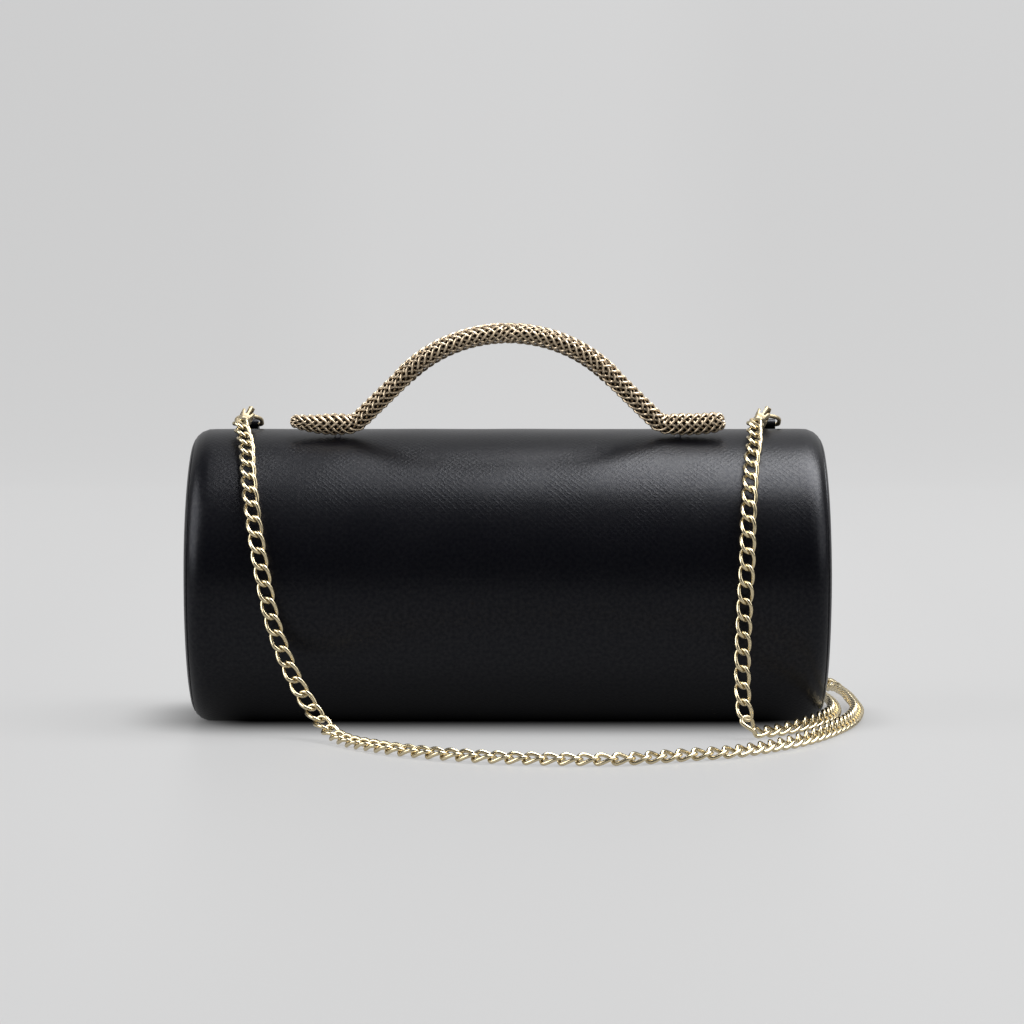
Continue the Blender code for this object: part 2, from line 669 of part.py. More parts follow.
def make_d_ring(side, word, finish):
    """A D-ring and the leather tab that is folded round its bar and sewn to the bag."""
    frame = surface_frame(side * TAB_X, TAB_ANGLE, 0)
    half = TAB_LEATHER / 2
    bar = (RING_BAR_FORWARD, ring_bar_height())
    loop = RING_WIRE + GAP + half
    lower = GAP + half
    upper = lower + TAB_LEATHER + GAP
    drop = bar[1] + loop - upper
    path = [(-TAB_LEG, lower), (bar[0] - loop, lower)]
    path += arc(bar, loop, -90, 100, 8)
    path += [(bar[0] - 1.4 * loop, upper + 0.35 * drop), (bar[0] - 2.6 * loop, upper), (-TAB_LEG, upper)]
    outline = strip_outline(path, half)
    upright = frame @ Matrix(((0, 0, -1, 0), (-1, 0, 0, 0), (0, 1, 0, 0), (0, 0, 0, 1)))
    prism(word + "_tab", outline, -TAB_WIDTH / 2, TAB_WIDTH / 2, finish["leather"], upright)
    corner = RING_CORNER
    wide = RING_HALF_WIDTH
    flat = [(-wide + corner, 0), (0, 0), (wide - corner, 0)]
    flat += [(wide - corner * 0.3, corner * 0.3), (wide, corner)]
    flat += arc((0, RING_ARM), wide, 0, 180, 12)
    flat += [(-wide, corner), (-wide + corner * 0.3, corner * 0.3)]
    line = [Vector((x, y, 0)) for x, y in flat]
    points, faces = sweep(line, [RING_WIRE] * len(line), 8, Vector((0, 0, 1)), True)
    build(word + "_d_ring", points, faces, finish["gold"], ring_frame(side))


def clasp_frame(side):
    """Frame of a clasp: X from its hook to its eye, Y in its plane, Z across its plate."""
    yaw = LEFT_CLASP_YAW if side < 0 else RIGHT_CLASP_YAW
    roll = LEFT_CLASP_ROLL if side < 0 else RIGHT_CLASP_ROLL
    ring = ring_frame(side)
    wire = ring @ Vector((-RING_HALF_WIDTH * math.sin(yaw), RING_ARM + RING_HALF_WIDTH * math.cos(yaw), 0))
    lie = surface_frame(0, CLASP_PITCH_ANGLE, 0).to_3x3()
    along = lie @ Vector((math.sin(yaw), -math.cos(yaw), 0))
    across = lie @ Vector((math.cos(yaw), math.sin(yaw), 0))
    out = lie @ Vector((0, 0, 1))
    in_plane = out * math.sin(roll) + across * math.cos(roll)
    plate = along.cross(in_plane)
    frame = Matrix((along, in_plane, plate)).transposed().to_4x4()
    frame.translation = wire + along * (HOOK_BACK + CLASP_INNER - RING_WIRE - HOOK_PLAY)
    return frame


def make_clasp(side, word, finish):
    """A lobster clasp: body, sprung lever on its pin, and the jump ring in its eye."""
    frame = clasp_frame(side)
    half = CLASP_THICKNESS / 2
    reach, inner, outer = CLASP_REACH, CLASP_INNER, CLASP_OUTER
    hook = (-HOOK_BACK, 0)
    outline = arc(hook, outer, 270, HOOK_TIP, 12)
    outline += arc(hook, inner, HOOK_TIP, 270, 10)
    outline += [(0.19 * reach, -0.95 * inner), (0.32 * reach, -0.55 * inner), (0.36 * reach, 0.22 * inner)]
    outline += [(0.38 * reach, 1.05 * inner), (0.49 * reach, 1.33 * inner), (0.64 * reach, 1.28 * inner)]
    outline += [(0.78 * reach, 0.89 * inner)]
    outline += arc((reach, 0), EYE_HOLE + EYE_WALL, 140, -140, 10)
    outline += [(0.70 * reach, -0.95 * inner), (0.27 * reach, -0.90 * outer)]
    body = prism(word + "_clasp", outline, -half, half, finish["gold"], frame)
    slot_floor = LEVER_PIVOT[1] - LEVER_KNUCKLE - GAP
    slot_end = LEVER_PIVOT[0] + LEVER_KNUCKLE + GAP
    slot = block(word + "_lever_slot", (0.054 * reach, slot_floor, -LEVER_SLOT / 2),
                 (slot_end, 2 * outer, LEVER_SLOT / 2), None, frame)
    shift = Matrix.Translation((LEVER_PIVOT[0], LEVER_PIVOT[1], 0))
    deep = CUT_REACH
    pin_hole = round_bar(word + "_pin_hole", PIN_HOLE, -deep, deep, None, frame @ shift)
    eye_frame = frame @ Matrix.Translation((reach, 0, 0))
    eye = round_bar(word + "_eye_hole", EYE_HOLE, -deep, deep, None, eye_frame)
    for cutter in (slot, pin_hole, eye):
        cut(body, cutter)
    lever_tip = HOOK_PLAY - HOOK_BACK
    arm = [(lever_tip, inner), (lever_tip, outer), (0.05 * reach, outer), (0.12 * reach, 1.24 * outer)]
    arm += [(0.22 * reach, 1.31 * outer), (0.28 * reach, 1.14 * outer), (0.35 * reach, 1.5 * inner)]
    arm += [(0.46 * reach, 1.28 * inner)]
    arm += arc(LEVER_PIVOT, LEVER_KNUCKLE, 80, -110, 8)
    arm += [(0.43 * reach, 0.22 * inner), (0.27 * reach, 0.67 * inner)]
    arm = [(x - LEVER_PIVOT[0], y - LEVER_PIVOT[1]) for x, y in arm]
    lever_frame = frame @ shift
    lever_half = LEVER_THICKNESS / 2
    lever = prism(word + "_lever", arm, -lever_half, lever_half, finish["gold"], lever_frame)
    cut(lever, pin_hole)
    round_bar(word + "_lever_pin", PIN_RADIUS, -half, half, finish["steel"], lever_frame)
    turns = [math.tau * n / 14 for n in range(14)]
    ring = [Vector((JUMP_CENTRE - JUMP_RADIUS * math.cos(a), 0, JUMP_RADIUS * math.sin(a))) for a in turns]
    points, faces = sweep(ring, [JUMP_WIRE] * len(ring), 8, Vector((0, 1, 0)), True)
    build(word + "_jump_ring", points, faces, finish["gold"], frame)


def chain_start(side, beyond):
    """Point on a clasp's line at a distance past the far side of its jump ring."""
    reach = JUMP_CENTRE + JUMP_RADIUS + JUMP_WIRE + GAP
    return clasp_frame(side) @ Vector((reach + beyond, 0, 0))


def over_barrel(x, angle_degrees):
    """Point of the chain where it lies on the barrel."""
    return surface_point(x, math.radians(angle_degrees), -CHAIN_RADIUS - CHAIN_CLEARANCE)


def chain_route():
    """The strap's route by hand: left clasp, down the front, round the right end, behind and back."""
    left_down = [(-0.0872, 30), (-0.0861, 43), (-0.0847, 56), (-0.0829, 69), (-0.0810, 81)]
    right_up = [(0.0785, 80), (0.0790, 66), (0.0799, 52), (0.0811, 38), (0.0824, 28)]
    points = [chain_start(-1, 0), chain_start(-1, CHAIN_END)]
    points += [over_barrel(x, angle) for x, angle in left_down]
    points += [Vector(p) for p in (
        (-0.0770, -0.0540, 0.0380), (-0.0709, -0.0553, 0.0215), (-0.0638, -0.0600, 0.0098),
        (-0.0572, -0.0690, 0.0038), (-0.0510, -0.0800, CHAIN_Z), (-0.0437, -0.0905, CHAIN_Z),
        (-0.0345, -0.1010, CHAIN_Z), (-0.0200, -0.1115, CHAIN_Z), (-0.0040, -0.1190, CHAIN_Z),
        (0.0160, -0.1235, CHAIN_Z), (0.0360, -0.1228, CHAIN_Z), (0.0550, -0.1140, CHAIN_Z),
        (0.0720, -0.1050, CHAIN_Z), (0.0865, -0.0890, CHAIN_Z), (0.0980, -0.0720, CHAIN_Z),
        (0.1075, -0.0515, CHAIN_Z), (0.1150, -0.0280, CHAIN_Z), (0.1195, 0.0000, CHAIN_Z),
        (0.1200, 0.0260, CHAIN_Z), (0.1195, 0.0500, CHAIN_Z), (0.1170, 0.0700, CHAIN_Z),
        (0.1090, 0.0830, CHAIN_Z), (0.0920, 0.0880, CHAIN_Z), (0.0600, 0.0860, CHAIN_Z),
        (0.0300, 0.0840, CHAIN_Z), (0.0000, 0.0840, CHAIN_Z), (-0.0280, 0.0845, CHAIN_Z),
        (-0.0480, 0.0830, CHAIN_Z), (-0.0590, 0.0770, CHAIN_Z), (-0.0625, 0.0670, CHAIN_Z),
        (-0.0560, 0.0580, CHAIN_Z), (-0.0400, 0.0545, CHAIN_Z), (-0.0150, 0.0560, CHAIN_Z),
        (0.0150, 0.0610, CHAIN_Z), (0.0450, 0.0665, CHAIN_Z), (0.0720, 0.0710, CHAIN_Z),
        (0.0940, 0.0705, CHAIN_Z), (0.1060, 0.0600, CHAIN_Z), (0.1110, 0.0420, CHAIN_Z),
        (0.1125, 0.0180, CHAIN_Z), (0.1110, -0.0060, CHAIN_Z), (0.1060, -0.0250, CHAIN_Z),
        (0.0975, -0.0410, CHAIN_Z), (0.0880, -0.0530, CHAIN_Z), (0.0806, -0.0600, 0.0030),
        (0.0772, -0.0592, 0.0100), (0.0768, -0.0558, 0.0225), (0.0775, -0.0540, 0.0400))]
    points += [over_barrel(x, angle) for x, angle in right_up]
    points += [chain_start(1, CHAIN_END), chain_start(1, 0)]
    return points


def smooth(points, steps):
    """Dense points on a smooth curve through the given ones."""
    dense = []
    for n in range(len(points) - 1):
        before = points[max(n - 1, 0)]
        after = points[min(n + 2, len(points) - 1)]
        here, there = points[n], points[n + 1]
        for k in range(steps):
            t = k / steps
            dense.append(0.5 * ((2 * here) + (there - before) * t
                                + (2 * before - 5 * here + 4 * there - after) * t * t
                                + (3 * here - before - 3 * there + after) * t ** 3))
    return dense + [points[-1]]


def thin_out(dense, end):
    """Fewer points between the two straight ends, closer together where the route turns."""
    kept = [dense[0], dense[end]]
    last = len(dense) - 1 - end
    share = 0.0
    for n in range(end + 1, last):
        step = (dense[n] - dense[n - 1]).length
        turn = (dense[n] - dense[n - 1]).angle(dense[n + 1] - dense[n], 0.0)
        share += step / CHAIN_STEP + turn / CHAIN_TURN
        if share >= 1:
            kept.append(dense[n])
            share = 0.0
    return kept + [dense[last], dense[-1]]


def make_chain(finish):
    """The strap's plain envelope: a tube along its route."""
    dense = smooth(chain_route(), CHAIN_DENSE)
    kept = thin_out(dense, CHAIN_DENSE)
    length = sum((b - a).length for a, b in zip(dense, dense[1:]))
    print("Strap length", round(length, 4), "m in", len(kept), "points")
    curve = bpy.data.curves.new("strap_chain", "CURVE")
    curve.dimensions = "3D"
    curve.bevel_depth = CHAIN_RADIUS
    curve.bevel_resolution = 2
    curve.use_fill_caps = True
    line = curve.splines.new("POLY")
    line.points.add(len(kept) - 1)
    for spot, point in zip(line.points, kept):
        spot.co = (*point, 1)
    made = bpy.data.objects.new("strap_chain", curve)
    bpy.context.scene.collection.objects.link(made)
    curve.materials.append(finish["chain"])


def main():
    for old in list(bpy.data.objects):
        bpy.data.objects.remove(old)
    finish = make_materials()
    panels = make_shell(finish)
    make_lip("front", 1, FRONT_SEAM, finish)
    make_lip("back", -1, BACK_SEAM, finish)
    for side, word in ((-1, "left"), (1, "right")):
        make_zip_end(side, word, finish)
        make_d_ring(side, word, finish)
        make_clasp(side, word, finish)
    make_slider(finish)
    make_pull(finish)
    make_handle(finish, list(panels))
    make_chain(finish)


main()
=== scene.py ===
import math

import bmesh
import bpy
import numpy as np
from mathutils import Matrix, Vector


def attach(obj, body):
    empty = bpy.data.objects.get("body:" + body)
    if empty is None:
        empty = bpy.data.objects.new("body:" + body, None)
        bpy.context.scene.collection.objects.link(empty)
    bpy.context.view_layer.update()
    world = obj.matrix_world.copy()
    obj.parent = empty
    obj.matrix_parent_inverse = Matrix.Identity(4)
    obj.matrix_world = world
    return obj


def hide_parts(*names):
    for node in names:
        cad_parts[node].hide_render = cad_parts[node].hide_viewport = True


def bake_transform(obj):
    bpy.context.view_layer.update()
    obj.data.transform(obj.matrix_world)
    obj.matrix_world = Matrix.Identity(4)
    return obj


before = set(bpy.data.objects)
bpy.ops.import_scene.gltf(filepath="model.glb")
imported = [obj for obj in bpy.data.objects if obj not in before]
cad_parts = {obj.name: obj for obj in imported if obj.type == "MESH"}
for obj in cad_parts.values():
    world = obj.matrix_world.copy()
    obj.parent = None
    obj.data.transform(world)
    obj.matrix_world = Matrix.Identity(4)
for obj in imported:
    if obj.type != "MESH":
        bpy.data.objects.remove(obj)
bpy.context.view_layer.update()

# A barrel clutch bag in black leather, with a braided metal handle, a zip behind its top line and
# a curb chain strap. Metres, +Z up; the barrel lies along X and its front faces -Y. An angle round
# the barrel is 0 at the top and grows towards the front. A depth is measured inwards from the
# leather's outer face. On the shell, s runs along the barrel from its middle and on over its
# rounded end, and run is the length round it.

# Sizes of the frame that the pieces follow
BARREL_RADIUS = 0.050
BARREL_LENGTH = 0.214
BASE_SAGITTA = 0.0015
EDGE_RADIUS = 0.0065
SEAM_ANGLE = math.radians(55)
LEATHER = 0.0012
BOARD = 0.0012
LINING = 0.0006
GAP = 0.0003
ZIP_ANGLE = math.radians(-25.5)
MOUTH_HALF_ANGLE = math.radians(18.5)
MOUTH_FROM_END = 0.0350
TAPE = 0.0006
TAPE_TUCK = 0.0050
ROW_EDGE = 0.0030
ROW_HEIGHT = 0.0030
STOP_LENGTH = 0.0016
SLIDER_LENGTH = 0.0110
SLIDER_WALL = 0.0012
SLIDER_PLATE = 0.0010
ZIP_SLOT_HALF = 0.0052
ROW_END = 0.0876
SLIDER_PARK = 0.0792
BRIDGE_HALF_LENGTH = 0.0042
BRIDGE_LEG = 0.0011
BRIDGE_HEIGHT = 0.0029
BRIDGE_HALF_WIDTH = 0.0009
PULL_LENGTH = 0.020
PULL_HALF_WIDTH = 0.0029
PULL_THICKNESS = 0.0010
PULL_PLAY = 0.0004
PULL_END_PLAY = 0.0013
PULL_RAIL = 0.0009
PULL_SHOULDER = 0.0030
PULL_TILT = math.radians(3)
HANDLE_ANGLE = math.radians(15.5)
HANDLE_HALF_SPAN = 0.0733
FOOT_LENGTH = 0.0194
HANDLE_RISE = 0.0320
LEG_SLOPE = math.radians(45.5)
ARCH_FILLET = 0.0060
TIP_LIFT = 0.0014
LIFT_LENGTH = 0.0120
TUBE_RADIUS = 0.0035
FOOT_RADIUS = 0.0040
FOOT_SWELL = 0.0080
SWELL_LEAD = 0.0033
TAB_ANGLE = math.radians(-17.2)
TAB_X = 0.0887
TAB_WIDTH = 0.0062
TAB_LEATHER = 0.0009
TAB_LEG = 0.0038
RING_WIRE = 0.0007
RING_HALF_WIDTH = 0.0043
RING_CORNER = 0.0010
RING_ARM = 0.0036
RING_BAR_FORWARD = 0.0040
RING_DROOP = math.radians(-6.5)
CLASP_REACH = 0.0105
CLASP_CHEEK = 0.0004
HOOK_WALL = 0.0010
HOOK_ROOM = 0.0018
HOOK_PLAY = 0.0011
HOOK_BACK = 0.0016
HOOK_TIP = 91
CLASP_ROLL = {-1: math.radians(62), 1: math.radians(65)}
CLASP_PITCH_ANGLE = math.radians(6.5)
CLASP_YAW = {-1: math.radians(-3), 1: math.radians(-14)}
LEVER_THICKNESS = 0.0008
LEVER_KNUCKLE = 0.0014
PIN_RADIUS = 0.0005
EYE_WALL = 0.0009
JUMP_WIRE = 0.0006
CHAIN_RADIUS = 0.0022
CHAIN_CLEARANCE = 0.0009
FLOOR_CLEARANCE = 0.0001
CHAIN_Z = CHAIN_RADIUS + FLOOR_CLEARANCE
CHAIN_END = 0.0015

AXIS_HEIGHT = BARREL_RADIUS - BASE_SAGITTA
STRAIGHT_HALF = BARREL_LENGTH / 2 - EDGE_RADIUS
EDGE_RUN = EDGE_RADIUS * math.pi / 2
END_FLAT = BARREL_RADIUS - EDGE_RADIUS
BOARD_DEPTH = LEATHER + GAP
LINING_DEPTH = BOARD_DEPTH + BOARD + GAP
FRONT_SEAM = ZIP_ANGLE + MOUTH_HALF_ANGLE
BACK_SEAM = ZIP_ANGLE - MOUTH_HALF_ANGLE
LIP_HALF_LENGTH = BARREL_LENGTH / 2 - MOUTH_FROM_END
ROW_DEPTH = LEATHER + GAP + TAPE / 2
SLIDER_TOP = ROW_HEIGHT / 2 + GAP + SLIDER_PLATE
SLIDER_HALF_WIDTH = ROW_EDGE + GAP + SLIDER_WALL
FOOT_START = HANDLE_HALF_SPAN - FOOT_LENGTH
ARCH_RADIUS = (FOOT_START - HANDLE_RISE / math.tan(LEG_SLOPE)) / math.tan(LEG_SLOPE / 2)
ARCH_RADIUS -= ARCH_FILLET
ARCH_KNEE = ARCH_RADIUS * math.sin(LEG_SLOPE)
FILLET_RUN = ARCH_FILLET * math.sin(LEG_SLOPE)
CLASP_INNER = RING_WIRE + HOOK_ROOM
CLASP_OUTER = CLASP_INNER + HOOK_WALL
LEVER_SLOT = LEVER_THICKNESS + 2 * GAP
CLASP_THICKNESS = LEVER_SLOT + 2 * CLASP_CHEEK
LEVER_PIVOT = (0.568 * CLASP_REACH, CLASP_INNER / 2)
PIN_HOLE = PIN_RADIUS + GAP
JUMP_RADIUS = math.hypot(EYE_WALL / 2, CLASP_THICKNESS / 2) + GAP + JUMP_WIRE
EYE_HOLE = (JUMP_RADIUS + JUMP_WIRE - EYE_WALL / 2 + GAP) / 2
JUMP_CENTRE = CLASP_REACH + EYE_HOLE + EYE_WALL / 2
SEAM_S = STRAIGHT_HALF + EDGE_RADIUS * SEAM_ANGLE - GAP / 2
SIDES = ((-1, "left"), (1, "right"))
FRONT_RUN = FRONT_SEAM * BARREL_RADIUS
BACK_RUN = BACK_SEAM * BARREL_RADIUS
ZIP_RUN = ZIP_ANGLE * BARREL_RADIUS

# The strap's route: places along the barrel with their angles in degrees, then points off it
DOWN_THE_FRONT = ((-0.0872, 30), (-0.0861, 43), (-0.0847, 56), (-0.0829, 69), (-0.0810, 81))
LANDING = ((-0.0770, -0.0540, 0.0380), (-0.0709, -0.0553, 0.0215), (-0.0638, -0.0600, 0.0098),
           (-0.0572, -0.0690, 0.0038))
ON_THE_FLOOR = (
    (-0.0510, -0.0800), (-0.0437, -0.0905), (-0.0345, -0.1010), (-0.0200, -0.1115),
    (-0.0040, -0.1190), (0.0160, -0.1235), (0.0360, -0.1228), (0.0550, -0.1140),
    (0.0720, -0.1050), (0.0865, -0.0890), (0.0980, -0.0720), (0.1075, -0.0515),
    (0.1150, -0.0280), (0.1195, 0.0000), (0.1200, 0.0260), (0.1195, 0.0500),
    (0.1170, 0.0700), (0.1090, 0.0830), (0.0920, 0.0880), (0.0600, 0.0860),
    (0.0300, 0.0840), (0.0000, 0.0840), (-0.0280, 0.0845), (-0.0480, 0.0830),
    (-0.0590, 0.0770), (-0.0625, 0.0670), (-0.0560, 0.0580), (-0.0400, 0.0545),
    (-0.0150, 0.0560), (0.0150, 0.0610), (0.0450, 0.0665), (0.0720, 0.0710),
    (0.0940, 0.0705), (0.1060, 0.0600), (0.1110, 0.0420), (0.1125, 0.0180),
    (0.1110, -0.0060), (0.1060, -0.0250), (0.0975, -0.0410), (0.0880, -0.0530))
TAKE_OFF = ((0.0806, -0.0600, 0.0030), (0.0772, -0.0592, 0.0100), (0.0768, -0.0558, 0.0225),
            (0.0775, -0.0540, 0.0400))
UP_THE_FRONT = ((0.0785, 80), (0.0790, 66), (0.0799, 52), (0.0811, 38), (0.0824, 28))
ROUTE_STEPS = 24

# Outlines, as shares of a clasp's reach along X and of its hook's radius along Y. The tab's fold is
# in shares of the bar's loop backwards and of the drop upwards.
CLASP_BACK = ((0.19, -0.95), (0.32, -0.55), (0.36, 0.22), (0.38, 1.05), (0.49, 1.33),
              (0.64, 1.28), (0.78, 0.89))
LEVER_BACK = ((0.05, 1), (0.12, 1.24), (0.22, 1.31), (0.28, 1.14))
TAB_FOLD = ((1.4, 0.35), (2.0, 0.1), (2.6, 0))

# Sizes of the finish
SHARP_ANGLE = math.radians(38)
FLAT_NORMAL = 0.9
CUTTER_REACH = 0.01
DISC_S_STEP = 0.0018
DISC_SPOKES = 180
DISC_UNEVEN = 0.6
NOTCHED_S_STEP = 0.0024
STRIP_S_STEP = 0.0025
RUN_STEP = 0.0017
EDGE_ROLL = 0.00048
ROLL_SHARES = np.array([0, 0.04, 0.15, 0.34, 0.62, 1.0])
RIPPLE = 0.00005
RIPPLE_WAVES = ((1.0, 137, 61, 0.4), (0.7, 59, -103, 2.1), (0.5, 211, 187, 1.3))
RIPPLE_LOWEST = -0.85
RIPPLE_FADE = 0.25
CALM_EDGE = 0.006
CAP_RADIUS = 0.0006
SEAM_BACKING = 0.0022
BACKING_DEPTH = LEATHER + 0.00002
BACKING_THICKNESS = 0.00024
BACKING_END = 0.0002
FOLD_STEP = 0.0003
STITCH_DEPTH = 0.00002
STITCH_INSET = 0.0020
ZIP_STITCH_INSET = 0.0018
LEFT_TAPER = 0.0017
RIGHT_TAPER = 0.0003
TAPER_LEAD = 0.004
LEFT_ROUND = 0.0022
RIGHT_ROUND = 0.0034
UNDER_DEPTH = 0.00105
STITCH_LENGTH = 0.0026
STITCH_PITCH = 0.0034
STITCH_RADIUS = 0.00026
STITCH_STOP = 0.0015
CLASP_SWELL = 1.15
CLASP_SWELL_MIDDLE = 0.42
CLASP_SWELL_HALF = 0.60
LINK_HALF_LENGTH = 0.00342
LINK_HALF_WIDTH = 0.00217
LINK_SLANT = 0.32
LINK_SQUARE = 0.96
LINK_TWIST = 0.00088
LINK_WIRE = 0.00067
LINK_PITCH = 0.0055
LINK_LEAN_SHARE = 0.7
LINK_CLEARANCE = 0.00005
SETTLE_FROM = 0.012
SETTLE_RUN = 0.009
FLAT_BELOW = 0.002
LIFT_RUN = 0.022
CHAIN_TILT = math.radians(16)
END_TILT = math.radians(40)
END_LEAN_START = 0.088
END_LEAN_RUN = 0.022
LEAN_SHARPNESS = 4
LEAN_TOWARDS = (0.2, -1, 0)
STRAND_COUNT = 8
STRAND_STEP = 0.0027
STRAND_WIDE = 0.00042
STRAND_HIGH = 0.00040
STRAND_LIFT = 0.00042
STRAND_BIAS = 0.8
STRAND_CREST = 1.35
BRAID_STEP = 0.00038
BRAID_END = 0.0002
TWIST_HALF = 0.006
KNEE_HALF = 0.003
CROWN_HALF = 0.002
TOOTH_PITCH = 0.0020
TOOTH_BASE = 0.00062
TOOTH_NOSE = 0.00041
TOOTH_RIMS = ((0.0013, 0.84), (0.00112, 0.96), (0.0009, 1.0))
END_TEETH_START = 0.0009
END_TEETH_STOP = 0.0006
SLIDER_CORNER = 0.0012
BRIDGE_CORNER = 0.0011
BRIDGE_INNER_CORNER = 0.0006
BRIDGE_SUNK = 0.0004
PULL_HOLE = 0.0011

# Finishes: colours are linear. A slot has its finish's name.
METAL_WEAR = 0.06
METAL_PATCHES = (0.92, 1.06)
PLAIN_SPREAD = 0.15
HATCH_PITCH = 0.0016
HATCH_BEND = 7.0
LEATHER_ROUGHNESS = (0.30, 0.38)
LEATHER_COLOURS = ((0.0006, 0.0006, 0.0014), (0.0010, 0.0010, 0.0020))
LEATHER_GLOSS = ((0.60, 0.62, 0.70), (0.93, 0.94, 1.0))

# Stage and light: each light's place, aim, size and power
FLOOR_FRONT = -2.5
FLOOR_HALF_WIDTH = 3.0
BEND_START = 1.2
BEND_RADIUS = 0.8
BACKDROP_HEIGHT = 3.2
FLOOR_COLOUR = (0.08, 0.08, 0.0804)
# Painted shade on the floor's sides and painted light far back and up the backdrop, set against the
# lamps' uneven fall
SIDE_PAINTED_SHADE = 0.86
FAR_PAINTED_LIGHT = 1.20
# The floor's glow is painted light: off over the bag's footprint and rising past it, a painted
# shadow round the bag, and weaker towards the front
DARK_FOOTPRINT = (0.085, 0.008, 9.0)
GLOW_REACH = (0.004, 0.052)
GLOW = (0.10, 0.46)
LIGHTS = {
    "overhead": ((0.80, 0.115, 1.75), (0.80, 0.115, 0.0), (1.5, 1.17), 74),
    "left_fill": ((-1.6, -0.6, 1.1), (0.0, -0.05, 0.0), (1.6, 1.6), 37),
    "right_fill": ((1.6, -0.6, 1.1), (0.0, -0.05, 0.0), (1.6, 1.6), 15),
    "backdrop_light": ((0.0, 0.5, 1.7), (0.0, 2.0, 1.2), (3.0, 0.5), 33),
}
ROOM_COLOUR = (0.80, 0.84, 0.96, 1)
ROOM_STRENGTH = 0.10


# Camera, at the photograph's angle
camera_data = bpy.data.cameras.new("camera")
camera_data.lens = 132.57
camera_data.sensor_width = 36
camera_data.clip_end = 20
camera = bpy.data.objects.new("camera", camera_data)
camera.location = (0.001417, -1.283355, 0.159900)
camera.rotation_euler = (math.radians(86), 0, 0)
bpy.context.scene.collection.objects.link(camera)
bpy.context.scene.camera = camera


# Meshes

def unit(rows):
    """Vectors, each made one long."""
    return rows / np.linalg.norm(rows, axis=-1, keepdims=True)


def moved(points, matrix):
    """Points through a matrix."""
    grid = np.array(matrix)
    return np.asarray(points, float) @ grid[:3, :3].T + grid[:3, 3]


def dress(piece, finish, body, *stands_for):
    """Finish, body and slot of a piece, and the nodes that it stands for."""
    piece.data.materials.clear()
    piece.data.materials.append(FINISHES[finish])
    if body is not None:
        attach(piece, body)
    if stands_for:
        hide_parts(*stands_for)


def smooth_shade(mesh):
    """Smooth faces, with sharp corners kept sharp."""
    mesh.shade_smooth()
    mesh.set_sharp_from_angle(angle=SHARP_ANGLE)


def mesh_piece(name, points, faces, grain=None):
    """An object from points and faces, closed faces turned outwards, with an optional grain map."""
    mesh = bpy.data.meshes.new(name)
    mesh.from_pydata(np.asarray(points, float).tolist(), [], [tuple(face) for face in faces])
    if grain is not None:
        layer = mesh.attributes.new("grain", "FLOAT_VECTOR", "POINT")
        layer.data.foreach_set("vector", np.asarray(grain, np.float32).ravel())
    shape = bmesh.new()
    shape.from_mesh(mesh)
    loose = [point for point in shape.verts if not point.link_faces]
    bmesh.ops.delete(shape, geom=loose, context="VERTS")
    bmesh.ops.recalc_face_normals(shape, faces=shape.faces)
    shape.to_mesh(mesh)
    shape.free()
    smooth_shade(mesh)
    made = bpy.data.objects.new(name, mesh)
    bpy.context.scene.collection.objects.link(made)
    return made


def cut(piece, *cutters, operation="DIFFERENCE"):
    """Take the cutters from a piece, or join them to it, and remove them."""
    for cutter in cutters:
        step = piece.modifiers.new(cutter.name, "BOOLEAN")
        step.operation = operation
        step.solver = "EXACT"
        step.object = cutter
    done = piece.evaluated_get(bpy.context.evaluated_depsgraph_get())
    mesh = bpy.data.meshes.new_from_object(done)
    piece.modifiers.clear()
    piece.data = mesh
    smooth_shade(mesh)
    for cutter in cutters:
        bpy.data.objects.remove(cutter)


def grid_faces(rows, columns, close=False):
    """Quads between rows of points, each row closed into a ring."""
    first = np.arange(rows if close else rows - 1)[:, None] * columns
    after = (first + columns) % (rows * columns)
    here = np.arange(columns)[None, :]
    there = (here + 1) % columns
    quads = np.stack([first + here, first + there, after + there, after + here], axis=-1)
    return quads.reshape(-1, 4).tolist()


def end_faces(rows, columns):
    """The first and the last ring of such a grid, as faces."""
    return [list(range(columns)), list(range((rows - 1) * columns, rows * columns))]


def tube(path, side, up, wide, high, count, close=False):
    """Rings round a path, wide along side and high along up."""
    turns = np.arange(count) / count * math.tau
    across, rise = np.cos(turns), np.sin(turns)
    wide = np.broadcast_to(wide, len(path))[:, None, None]
    high = np.broadcast_to(high, len(path))[:, None, None]
    points = path[:, None] + wide * across[None, :, None] * side[:, None]
    points = points + high * rise[None, :, None] * up[:, None]
    faces = grid_faces(len(path), count, close)
    if not close:
        faces += end_faces(len(path), count)
    return points.reshape(-1, 3), faces


def tiled(points, faces, places, axes):
    """Copies of one shape, each at a place with its own three axes."""
    spread = np.einsum("pk,nkc->npc", points, axes) + places[:, None, :]
    starts = range(0, len(places) * len(points), len(points))
    copies = [[n + start for n in face] for start in starts for face in faces]
    return spread.reshape(-1, 3), copies


def joined(parts):
    """Several shapes as one list of points and one of faces."""
    points, faces, start = [], [], 0
    for some, their in parts:
        points.append(some)
        faces += [[n + start for n in face] for face in their]
        start += len(some)
    return np.concatenate(points), faces


def arc(centre, radius, start, end, steps):
    """Points on an arc, in degrees."""
    turns = [math.radians(start + (end - start) * n / steps) for n in range(steps + 1)]
    return [(centre[0] + radius * math.cos(a), centre[1] + radius * math.sin(a)) for a in turns]


